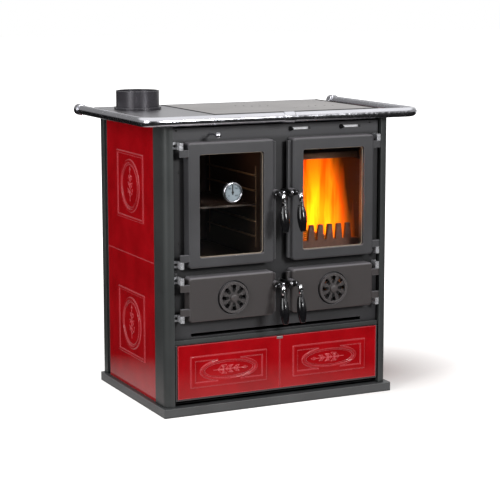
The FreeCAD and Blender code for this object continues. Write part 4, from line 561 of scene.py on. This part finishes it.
def again(thing, name):
    """A copy with its own mesh."""
    choose(thing)
    bpy.ops.object.duplicate()
    copy = bpy.context.object
    copy.name = name
    return copy


def discard(*things):
    choose(*things)
    bpy.ops.object.delete()


def modify(thing, kind, **settings):
    choose(thing)
    modifier = thing.modifiers.new(kind.title(), kind)
    for setting, value in settings.items():
        setattr(modifier, setting, value)
    bpy.ops.object.modifier_apply(modifier=modifier.name)


def hang(thing, name, body, slot, finish=None):
    settle(thing)
    thing.name = name
    thing.data.materials.clear()
    thing.data.materials.append(finishes[finish or slot])
    bpy.ops.object.shade_smooth_by_angle(angle=math.radians(40))
    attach(thing, body)
    print("hung", name, "on", body, "with", len(thing.data.polygons), "faces")


# %% [markdown]
# ## Sprigs on the tiles
#
# Each oval on the tiles frames a sprig in low relief: a stem, pairs of pointed leaves and a bud. A
# leaf is two cones foot to foot, smoothed and flattened. The sprig is made once, upright and facing
# -Y, then copied to each oval.

# %% A leaf
LEAF = {"half_long": 0.017, "half_wide": 0.0075, "tip": 0.0006, "flat": 0.34}


def make_leaf():
    clear_choice()
    bpy.ops.mesh.primitive_cone_add(vertices=16, radius1=LEAF["half_wide"], radius2=LEAF["tip"],
                                    depth=LEAF["half_long"], end_fill_type="NGON",
                                    location=(0, 0, LEAF["half_long"] / 2))
    leaf = bpy.context.object
    settle(leaf)
    modify(leaf, "MIRROR", use_axis=(False, False, True))
    modify(leaf, "SUBSURF", levels=2)
    choose(leaf)
    bpy.ops.transform.resize(value=(1, LEAF["flat"], 1), center_override=(0, 0, 0))
    bpy.ops.transform.translate(value=(0, 0, LEAF["half_long"]))
    settle(leaf)
    return leaf


# %% A sprig of leaves on a stem
STEM_RADIUS, BERRY_RADIUS, BUD_SIZE = 0.0014, 0.0026, (0.7, 0.9, 0.62)
# Places up the stem, as shares of half its length from its middle:
FIRST_PAIR, PAIRS_RISE, BERRY_OUT, BERRY_UP, BUD_UP = 0.72, 1.5, 0.16, 0.36, 0.82
PAIR_SHRINK = 0.16


def make_sprig(half_long, pairs, lean):
    """Pairs of leaves up a stem, each pair smaller than the one below, and a bud on top."""
    clear_choice()
    bpy.ops.mesh.primitive_cylinder_add(vertices=12, radius=STEM_RADIUS, depth=half_long * 2)
    stem = bpy.context.object
    settle(stem)
    pieces = [stem]
    first_leaf = make_leaf()
    for pair in range(pairs):
        height = -half_long * FIRST_PAIR + pair * half_long * PAIRS_RISE / pairs
        size = 1 - PAIR_SHRINK * pair
        for side in SIDES.values():
            leaf = again(first_leaf, "leaf")
            bpy.ops.transform.resize(value=(size, size, size), center_override=(0, 0, 0))
            bpy.ops.transform.rotate(value=math.radians(lean) * side, orient_axis="Y",
                                     center_override=(0, 0, 0))
            bpy.ops.transform.translate(value=(0, 0, height))
            settle(leaf)
            pieces.append(leaf)
            clear_choice()
            berry_place = (side * half_long * BERRY_OUT, 0, height + half_long * BERRY_UP)
            bpy.ops.mesh.primitive_uv_sphere_add(segments=16, ring_count=8, radius=BERRY_RADIUS,
                                                 location=berry_place)
            berry = bpy.context.object
            settle(berry)
            pieces.append(berry)
    bud = again(first_leaf, "bud")
    bpy.ops.transform.resize(value=BUD_SIZE, center_override=(0, 0, 0))
    bpy.ops.transform.translate(value=(0, 0, half_long * BUD_UP))
    pieces.append(bud)
    sprig = weld(*pieces)
    discard(first_leaf)
    return sprig


# %% Copies onto the tiles
SIDE_MIDDLE, OVAL_HEIGHTS = 0.020, {"lower": 0.226, "upper": 0.641}
DRAWER_X, DRAWER_Z = 0.166, 0.124


def onto_side_tiles(model, name, out):
    """A copy in each oval of the sides, turned to face outwards, that far from the middle."""
    for level, height in OVAL_HEIGHTS.items():
        for side_name, side in SIDES.items():
            copy = again(model, name)
            bpy.ops.transform.rotate(value=math.pi / 2, orient_axis="Z", center_override=(0, 0, 0))
            bpy.ops.transform.translate(value=(side * out, SIDE_MIDDLE, height))
            hang(copy, f"{name}_{side_name}_{level}", "cooker", "red_glaze")


def onto_drawer_tiles(model, name, out, lay_down):
    """A copy in each oval of the drawer. One that lies down points away from the middle."""
    for side_name, side in SIDES.items():
        copy = again(model, name)
        if lay_down:
            bpy.ops.transform.rotate(value=math.pi / 2 * side, orient_axis="Y",
                                     center_override=(0, 0, 0))
        bpy.ops.transform.translate(value=(side * DRAWER_X, -out, DRAWER_Z))
        hang(copy, f"{name}_drawer_{side_name}", "drawer", "red_glaze")


# %% Sprigs in their ovals
SPRIG_ON_SIDE, SPRIG_ON_DRAWER = 0.3622, 0.246
tall_sprig = make_sprig(half_long=0.046, pairs=3, lean=38)
onto_side_tiles(tall_sprig, "sprig", SPRIG_ON_SIDE)
discard(tall_sprig)
long_sprig = make_sprig(half_long=0.050, pairs=3, lean=24)
onto_drawer_tiles(long_sprig, "sprig", SPRIG_ON_DRAWER, lay_down=True)
discard(long_sprig)

# %% [markdown]
# ## Inner beads of the ovals
#
# Inside each oval moulding runs a second, thinner bead. It is a torus laid flat against the tile and
# drawn out to an ellipse, so that its round section catches the light along the whole line.


# %% Inner oval beads
def oval_bead(half_wide, half_high, thickness, depth):
    """An upright ellipse that faces -Y, round the origin."""
    clear_choice()
    bpy.ops.mesh.primitive_torus_add(major_segments=96, minor_segments=12, major_radius=half_wide,
                                     minor_radius=thickness, rotation=(math.pi / 2, 0, 0))
    bead = bpy.context.object
    bpy.ops.transform.resize(value=(1, depth / thickness, half_high / half_wide))
    settle(bead)
    return bead


SIDE_TILE_GROUND, DRAWER_TILE_GROUND = 0.362, 0.2455
tall_bead = oval_bead(half_wide=0.0600, half_high=0.0640, thickness=0.0024, depth=0.0026)
onto_side_tiles(tall_bead, "oval_bead", SIDE_TILE_GROUND)
long_bead = oval_bead(half_wide=0.0780, half_high=0.0215, thickness=0.0016, depth=0.0024)
onto_drawer_tiles(long_bead, "oval_bead", DRAWER_TILE_GROUND, lay_down=False)
discard(tall_bead, long_bead)

# %% [markdown]
# ## The oven thermometer
#
# The case is built. It gets a chrome bezel, a ring of marks and plain numbers. One mark is made at
# the top of the dial and copied round its middle.

# %% Bezel, marks and numbers
BEZEL_RADIUS, BEZEL_THICK, BEZEL_AHEAD = 0.0268, 0.0026, 0.0032
MARK_COUNT, DIAL_SWEEP = 13, 260
NUMBERS = {"0": 0, "100": 1 / 3, "200": 2 / 3, "300": 1}
NUMBER_OUT, NUMBER_AHEAD, NUMBER_SIZE, NUMBER_THICK = 0.0155, 0.0001, 0.0072, 0.00008
clear_choice()
bpy.ops.mesh.primitive_torus_add(major_segments=72, minor_segments=16, major_radius=BEZEL_RADIUS,
                                 minor_radius=BEZEL_THICK, rotation=(math.pi / 2, 0, 0),
                                 location=DIAL - Vector((0, BEZEL_AHEAD, 0)))
hang(bpy.context.object, "dial_bezel", "oven_door", "chrome")


def dial_turn(share):
    """The angle from the top of the dial at a share of its sweep."""
    return math.radians(DIAL_SWEEP * (share - 0.5))


def dial_mark(size, height):
    clear_choice()
    bpy.ops.mesh.primitive_cube_add(size=1, location=DIAL + Vector((0, 0, height)))
    mark = bpy.context.object
    bpy.ops.transform.resize(value=size)
    settle(mark)
    modify(mark, "BEVEL", width=0.00008, segments=2)
    return mark


marks = []
first_mark = dial_mark(size=(0.0009, 0.0003, 0.0036), height=0.0222)
first_tick = dial_mark(size=(0.0005, 0.0003, 0.0020), height=0.0230)
for model, count in ((first_mark, MARK_COUNT), (first_tick, MARK_COUNT * 2 - 1)):
    for step in range(count):
        mark = again(model, "mark")
        bpy.ops.transform.rotate(value=dial_turn(step / (count - 1)), orient_axis="Y",
                                 center_override=DIAL)
        marks.append(mark)
for number, share in NUMBERS.items():
    turn = dial_turn(share)
    from_middle = Vector((math.sin(turn) * NUMBER_OUT, -NUMBER_AHEAD, math.cos(turn) * NUMBER_OUT))
    clear_choice()
    bpy.ops.object.text_add(location=DIAL + from_middle, rotation=(math.pi / 2, 0, 0))
    lettering = bpy.context.object
    lettering.data.body = number
    lettering.data.size = NUMBER_SIZE
    lettering.data.align_x = "CENTER"
    lettering.data.align_y = "CENTER"
    lettering.data.extrude = NUMBER_THICK
    bpy.ops.object.convert(target="MESH")
    settle(lettering)
    marks.append(lettering)
hang(weld(*marks), "dial_marks", "oven_door", "grip_black")
discard(first_mark, first_tick)

# %% [markdown]
# ## Screws and stud caps
#
# A round-headed screw is a short cylinder, rounded at the front and slotted. It is made once and
# copied wherever the real cooker shows one: on the hinge leaves, the facade and the latches. Side by
# side their slots point different ways, because nobody lines them up. The keeper studs end in a
# flattened ball.


# %% A slotted screw
def make_screw(radius, height):
    """A round head that faces -Y, its rear on the origin."""
    slot_size = (radius * 2.6, height * 0.8, radius * 0.26)
    clear_choice()
    bpy.ops.mesh.primitive_cylinder_add(vertices=32, radius=radius, depth=height,
                                        location=(0, -height / 2, 0), rotation=(math.pi / 2, 0, 0))
    screw = bpy.context.object
    settle(screw)
    modify(screw, "BEVEL", width=height * 0.6, segments=4, limit_method="ANGLE")
    clear_choice()
    bpy.ops.mesh.primitive_cube_add(size=1, location=(0, -height, 0))
    blade = bpy.context.object
    bpy.ops.transform.resize(value=slot_size)
    settle(blade)
    modify(screw, "BOOLEAN", operation="DIFFERENCE", object=blade, solver="EXACT")
    discard(blade)
    return screw


SLOT_TURN = 0.9


def place_screws(name, model, places, body, slot):
    """Copies of one screw at many places, each turned a little further, as one piece."""
    copies = []
    for number, place in enumerate(places):
        copy = again(model, "screw")
        bpy.ops.transform.rotate(value=number * SLOT_TURN, orient_axis="Y",
                                 center_override=(0, 0, 0))
        bpy.ops.transform.translate(value=place)
        copies.append(copy)
    hang(weld(*copies), name, body, slot)


# %% Screws in their places
leaf_screw = make_screw(radius=0.0042, height=0.0024)
small_screw = make_screw(radius=0.0026, height=0.0016)
LEAF_HOLE_X, LEAF_FACE = 0.3276, 0.235
LEAF_HOLE_HEIGHTS = (0.781, 0.442, 0.396, 0.286)
leaf_places = [(side * LEAF_HOLE_X, -LEAF_FACE, height)
               for side in SIDES.values() for height in LEAF_HOLE_HEIGHTS]
place_screws("leaf_screws", leaf_screw, leaf_places, "cooker", "sheet_black")
FACADE_FACE = 0.232
facade_places = [(-0.321, -FACADE_FACE, 0.823), (0.306, -FACADE_FACE, 0.823),
                 (-0.314, -FACADE_FACE, 0.704), (-0.315, -FACADE_FACE, 0.501)]
place_screws("facade_screws", small_screw, facade_places, "cooker", "sheet_black")

PIVOT_HEIGHTS = (0.638, 0.370)
UPPER_PIVOT, LOWER_PIVOT = PIVOT_HEIGHTS
LATCHES = {"oven": (-1, UPPER_PIVOT), "fire": (1, UPPER_PIVOT),
           "soot": (-1, LOWER_PIVOT), "ash": (1, LOWER_PIVOT)}
HUB_X, HUB_FACE, HUB_UP = 0.028, 0.2983, 0.001
HEEL_X, HEEL_FACE, HEEL_DOWN = 0.0365, 0.2933, 0.005
for latch, (side, pivot_z) in LATCHES.items():
    latch_places = [(side * HUB_X, -HUB_FACE, pivot_z + HUB_UP),
                    (side * HEEL_X, -HEEL_FACE, pivot_z - HEEL_DOWN)]
    place_screws(f"{latch}_latch_screws", small_screw, latch_places, f"{latch}_latch", "chrome")
discard(leaf_screw, small_screw)

# %% Caps on the keeper studs
KEEPER_X, KEEPER_FACE, CAP_RADIUS, CAP_FLAT = 0.0135, 0.298, 0.0046, 0.5
for side in SIDES.values():
    for pivot_z in PIVOT_HEIGHTS:
        clear_choice()
        bpy.ops.mesh.primitive_uv_sphere_add(segments=24, ring_count=12, radius=CAP_RADIUS,
                                             location=(side * KEEPER_X, -KEEPER_FACE, pivot_z))
        bpy.ops.transform.resize(value=(1, CAP_FLAT, 1))
        cap_name = f"keeper_cap_{side}_{round(pivot_z * 1000)}"
        hang(bpy.context.object, cap_name, "cooker", "chrome")

# %% [markdown]
# ## Beads round the windows
#
# A thin rounded bead closes each window's opening against its glass and catches the light along the
# sill. It starts as a plane the size of the opening. Its corners are bevelled, its middle is inset
# and taken out, and the ring that stays is given a thickness.

# %% Window beads
GLASS_LAP, BEAD_WIDTH, BEAD_ROUND = 0.008, 0.0024, 0.0105
BEAD_AHEAD, BEAD_THICK, BEAD_EDGE = 0.0016, 0.0014, 0.0004
for glass, body in (("glass_left", "oven_door"), ("glass_right", "fire_door")):
    low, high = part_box(glass)
    opening_wide = high[0] - low[0] - 2 * GLASS_LAP
    opening_high = high[2] - low[2] - 2 * GLASS_LAP
    middle = Vector(((low[0] + high[0]) / 2, low[1] - BEAD_AHEAD, (low[2] + high[2]) / 2))
    clear_choice()
    bpy.ops.mesh.primitive_plane_add(size=1, location=middle, rotation=(math.pi / 2, 0, 0))
    bead = bpy.context.object
    bpy.ops.transform.resize(value=(opening_wide, 1, opening_high))
    settle(bead)
    bpy.ops.object.mode_set(mode="EDIT")
    bpy.ops.mesh.select_all(action="SELECT")
    bpy.ops.mesh.bevel(offset=BEAD_ROUND, segments=6, affect="VERTICES")
    bpy.ops.mesh.select_all(action="SELECT")
    bpy.ops.mesh.inset(thickness=BEAD_WIDTH)
    bpy.ops.mesh.delete(type="FACE")
    bpy.ops.object.mode_set(mode="OBJECT")
    modify(bead, "SOLIDIFY", thickness=BEAD_THICK, offset=0.0)
    modify(bead, "BEVEL", width=BEAD_EDGE, segments=2, limit_method="ANGLE")
    hang(bead, f"{glass}_bead", body, "rope_grey", "bead_cream")

# %% [markdown]
# ## Small things on top and on the drawer
#
# The cooking surface carries two short rows of locating pips. Some of them stand on the round lid,
# and those are a piece of their own, because they have to rise with it. A dark strip round three
# sides of the hotplate is painted shade in the gap there, and a steel clip holds the two drawer
# tiles together at the head of their joint. A pip is a flattened ball, and the strip and the clip
# are bars with rounded edges.

# %% Pips on the hotplate and its lid
WORKTOP, PIP_RADIUS, PIP_FLAT = 0.858, 0.0028, 0.22
PIPS = [(0.029, 0.117), (0.052, 0.106), (0.067, 0.078), (0.092, 0.074), (0.115, 0.067),
        (0.222, -0.002), (0.254, 0.012), (0.282, 0.006), (0.305, -0.005), (0.339, -0.146)]
lid_low, lid_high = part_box("hotplate_lid")
lid_middle = Vector(((lid_low[0] + lid_high[0]) / 2, (lid_low[1] + lid_high[1]) / 2))
lid_radius = (lid_high[0] - lid_low[0]) / 2
pips = {"cooker": [], "lid": []}
for x, y in PIPS:
    past_lid = (Vector((x, y)) - lid_middle).length - lid_radius
    clear_choice()
    bpy.ops.mesh.primitive_uv_sphere_add(segments=16, ring_count=8, radius=PIP_RADIUS,
                                         location=(x, y, WORKTOP))
    pip = bpy.context.object
    bpy.ops.transform.resize(value=(1, 1, PIP_FLAT))
    settle(pip)
    pips["lid" if past_lid < 0 else "cooker"].append(pip)
for name, body in (("hotplate_pips", "cooker"), ("lid_pips", "lid")):
    hang(weld(*pips[body]), name, body, "sheet_black")


# %% A bar with rounded edges
def rounded_bar(middle, size, edge):
    clear_choice()
    bpy.ops.mesh.primitive_cube_add(size=1, location=middle)
    bar = bpy.context.object
    bpy.ops.transform.resize(value=size)
    settle(bar)
    modify(bar, "BEVEL", width=edge, segments=3)
    return bar


# %% Painted shade round the hotplate
GAP_SHADE_WIDE, GAP_SHADE_HIGH, GAP_SHADE_EDGE = 0.0034, 0.0036, 0.0008
plate_low, plate_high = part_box("hotplate")
gap_shade_sides = []
for low_x, high_x, low_y, high_y in (
        (plate_low[0] - GAP_SHADE_WIDE, plate_low[0], plate_low[1] - GAP_SHADE_WIDE, plate_high[1]),
        (plate_high[0], plate_high[0] + GAP_SHADE_WIDE, plate_low[1] - GAP_SHADE_WIDE, plate_high[1]),
        (plate_low[0], plate_high[0], plate_low[1] - GAP_SHADE_WIDE, plate_low[1])):
    strip_middle = ((low_x + high_x) / 2, (low_y + high_y) / 2, WORKTOP)
    strip_size = (high_x - low_x, high_y - low_y, GAP_SHADE_HIGH)
    gap_shade_sides.append(rounded_bar(strip_middle, strip_size, GAP_SHADE_EDGE))
# Painted shade: a black strip stands in the shaded gap round the hotplate.
hang(weld(*gap_shade_sides), "hotplate_gap_shade", "cooker", "sheet_black")

# %% Clip on the drawer
CLIP_MIDDLE, CLIP_SIZE, CLIP_EDGE = (0, -0.2462, 0.2012), (0.020, 0.0030, 0.0080), 0.0009
clip = rounded_bar(CLIP_MIDDLE, CLIP_SIZE, CLIP_EDGE)
hang(clip, "drawer_clip", "drawer", "plate_steel")

# %% [markdown]
# ## The studio
#
# The floor is white to the camera, with a soft shade to the right of the cooker, which is partly its
# real shadow and partly painted shade, since the floor's glow to the camera is lower there. What
# shines sees a studio that is white overhead, behind and on the floor close by, and dark where the
# camera stands.
# That is what draws the bright and dark bands along the towel rail. None of this is more light on
# the cooker: floor and world only answer the camera and the mirrors differently, by Light Path.

# %% Floor
FLOOR_COLOUR, NIGHT = (0.80, 0.765, 0.745), (0.02, 0.02, 0.02)
NEAR_SPAN, NEAR_SHINE = (0.42, 0.76), 0.35           # around the cooker, in mirrors
# Round the shade place the floor's glow to the camera is low: its real shadow shows there, with
# painted shade added.
SHADE_PLACE, SHADE_SPAN, SHADE_LIFT = (0.40, 0.02, 0), (0.08, 0.42), (0.06, 0.75)
FAR_SPAN, FAR_LIFT = (0.9, 1.8), 0.6                 # away from the cooker, to the camera
BEHIND_SPAN, RIGHT_SPAN, RIGHT_SHINE = (1.0, 2.5), (0.0, 1.0), 0.8
clear_choice()
bpy.ops.mesh.primitive_plane_add(size=60, location=(0, 0, 0))
floor = bpy.context.object
floor.name = "floor"
floor_paint, floor_shader, floor_place = start_finish("floor_paint", (0.8, 0.8, 0.8), 0.95)
floor.data.materials.append(floor_paint)
floor_shader.inputs["Specular IOR Level"].default_value = 0.0
floor_shader.inputs["Emission Color"].default_value = (1, 1, 1, 1)
from_cooker = away_from(floor_paint, floor_place, (0, 0, 0))
from_shade = away_from(floor_paint, floor_place, SHADE_PLACE)
floor_rays = grow(floor_paint, "LightPath").outputs
far_off = spread(floor_paint, from_cooker, *NEAR_SPAN)
night_share = reckon(floor_paint, "MULTIPLY", floor_rays["Is Glossy Ray"], far_off)
feed(floor_paint, blend(floor_paint, night_share, FLOOR_COLOUR, NIGHT), floor_shader, "Base Color")
near_lift = spread(floor_paint, from_shade, *SHADE_SPAN, *SHADE_LIFT)
far_lift = spread(floor_paint, from_cooker, *FAR_SPAN, 0.0, FAR_LIFT)
camera_lift = reckon(floor_paint, "MULTIPLY", floor_rays["Is Camera Ray"],
                     reckon(floor_paint, "ADD", near_lift, far_lift))
behind = spread(floor_paint, axis_of(floor_paint, floor_place, "Y"), *BEHIND_SPAN)
to_right = spread(floor_paint, axis_of(floor_paint, floor_place, "X"), *RIGHT_SPAN, 0.0, RIGHT_SHINE)
near_shine = spread(floor_paint, from_cooker, *NEAR_SPAN, NEAR_SHINE, 0.0)
mirror_shine = reckon(floor_paint, "MAXIMUM", near_shine,
                      reckon(floor_paint, "MULTIPLY", behind, to_right))
glossy_lift = reckon(floor_paint, "MULTIPLY", floor_rays["Is Glossy Ray"], mirror_shine)
floor_lift = reckon(floor_paint, "ADD", camera_lift, glossy_lift)
feed(floor_paint, floor_lift, floor_shader, "Emission Strength")
print("floor:", tuple(round(length) for length in floor.dimensions))

# %% What the world shows to each kind of ray
AMBIENT, DARK_SIDE, BACK_WALL, SIDE_WALL, CEILING = 0.34, 0.06, 0.85, 0.35, 1.1
CEILING_SPAN, HORIZON_SPAN, SIDE_SPAN = (0.42, 0.66), (-0.02, 0.06), (0.55, 0.85)
BACK_SPAN, BACK_RIGHT_SPAN, BACK_LEFT_SHARE = (0.25, 0.55), (0.10, 0.48), 0.30
world = bpy.data.worlds.new("studio")
bpy.context.scene.world = world
world.use_nodes = True
backdrop = world.node_tree.nodes["Background"]
backdrop.inputs["Color"].default_value = (1, 1, 1, 1)
heading = grow(world, "TexCoord").outputs["Generated"]
to_side, to_back, upward = (axis_of(world, heading, axis) for axis in "XYZ")
ceiling = spread(world, upward, *CEILING_SPAN, 0.0, CEILING)
above_floor = spread(world, upward, *HORIZON_SPAN)
back = reckon(world, "MULTIPLY", spread(world, to_back, *BACK_SPAN, 0.0, BACK_WALL),
              spread(world, to_side, *BACK_RIGHT_SPAN, BACK_LEFT_SHARE, 1.0))
either_side = reckon(world, "ABSOLUTE", to_side)
sides = spread(world, either_side, *SIDE_SPAN, 0.0, SIDE_WALL)
walls = reckon(world, "MULTIPLY", reckon(world, "MAXIMUM", back, sides), above_floor)
mirrored = reckon(world, "MAXIMUM", reckon(world, "MAXIMUM", ceiling, walls), DARK_SIDE)
world_rays = grow(world, "LightPath").outputs
seen = reckon(world, "MAXIMUM", world_rays["Is Camera Ray"], world_rays["Is Transmission Ray"])
shown = reckon(world, "MULTIPLY", world_rays["Is Glossy Ray"], mirrored)
lit = reckon(world, "MULTIPLY", world_rays["Is Diffuse Ray"], AMBIENT)
strength = reckon(world, "MAXIMUM", reckon(world, "MAXIMUM", seen, shown), lit)
feed(world, strength, backdrop, "Strength")
print("world: ambient light", AMBIENT, "and a ceiling of", CEILING)

# %% [markdown]
# ## Lamps
#
# A small box of light, high in front and to the right, draws the highlights on knuckles and
# mouldings, and a large one on the left fills the tiled side. Two warm points behind the firebox
# window light its bricks, and a faint one in the oven picks out the ladders. The points hide from
# camera, mirrors and glass.


# %% Lamps in their places
def hang_lamp(name, kind, place, power):
    data = bpy.data.lights.new(name, kind)
    data.energy = power
    lamp = bpy.data.objects.new(name, data)
    bpy.context.collection.objects.link(lamp)
    lamp.location = place
    print("lamp", name, "at", place, "with", power, "W")
    return lamp


def softbox(name, place, aim, size, power):
    lamp = hang_lamp(name, "AREA", place, power)
    lamp.data.shape = "RECTANGLE"
    lamp.data.size, lamp.data.size_y = size
    lamp.rotation_euler = (Vector(aim) - Vector(place)).to_track_quat("-Z", "Y").to_euler()


def glow(name, place, radius, power, colour):
    lamp = hang_lamp(name, "POINT", place, power)
    lamp.data.shadow_soft_size = radius
    lamp.data.color = colour
    lamp.visible_camera = False
    lamp.visible_glossy = False
    lamp.visible_transmission = False


softbox("key", (1.0, -4.0, 2.0), aim=(0, 0, 0.5), size=(0.8, 0.8), power=88)
softbox("fill", (-3.2, -1.5, 1.7), aim=(0, 0, 0.4), size=(1.2, 2.0), power=60)
glow("ember_left", (0.190, 0.04, 0.52), radius=0.03, power=2.6, colour=(1, 0.45, 0.02))
glow("ember_right", (0.235, 0.09, 0.47), radius=0.03, power=0.7, colour=(1, 0.42, 0.02))
glow("oven_warm", (-0.120, -0.17, 0.735), radius=0.02, power=0.12, colour=(1, 0.62, 0.36))

# %% [markdown]
# ## Camera
#
# The camera looks from the front left and a little from above. Its place, its turn and its long
# lens were solved from edges of the cooker whose sizes are known.

# %% Camera
YAW, PITCH, ROLL = 0.4517, 0.16641, 0.00097
camera_data = bpy.data.cameras.new("camera")
camera_data.sensor_width = 36
camera_data.lens = 115.2
camera_data.clip_end = 100
camera = bpy.data.objects.new("camera", camera_data)
bpy.context.collection.objects.link(camera)
camera.location = (-2.0933, -4.3620, 1.2376)
camera.rotation_euler = (math.pi / 2 - PITCH, ROLL, -YAW)
bpy.context.scene.camera = camera
print("camera:", round(math.degrees(YAW), 1), "degrees left of the front and",
      round(math.degrees(PITCH), 1), "degrees down")

# %% Close
bpy.context.scene.view_settings.view_transform = "Standard"
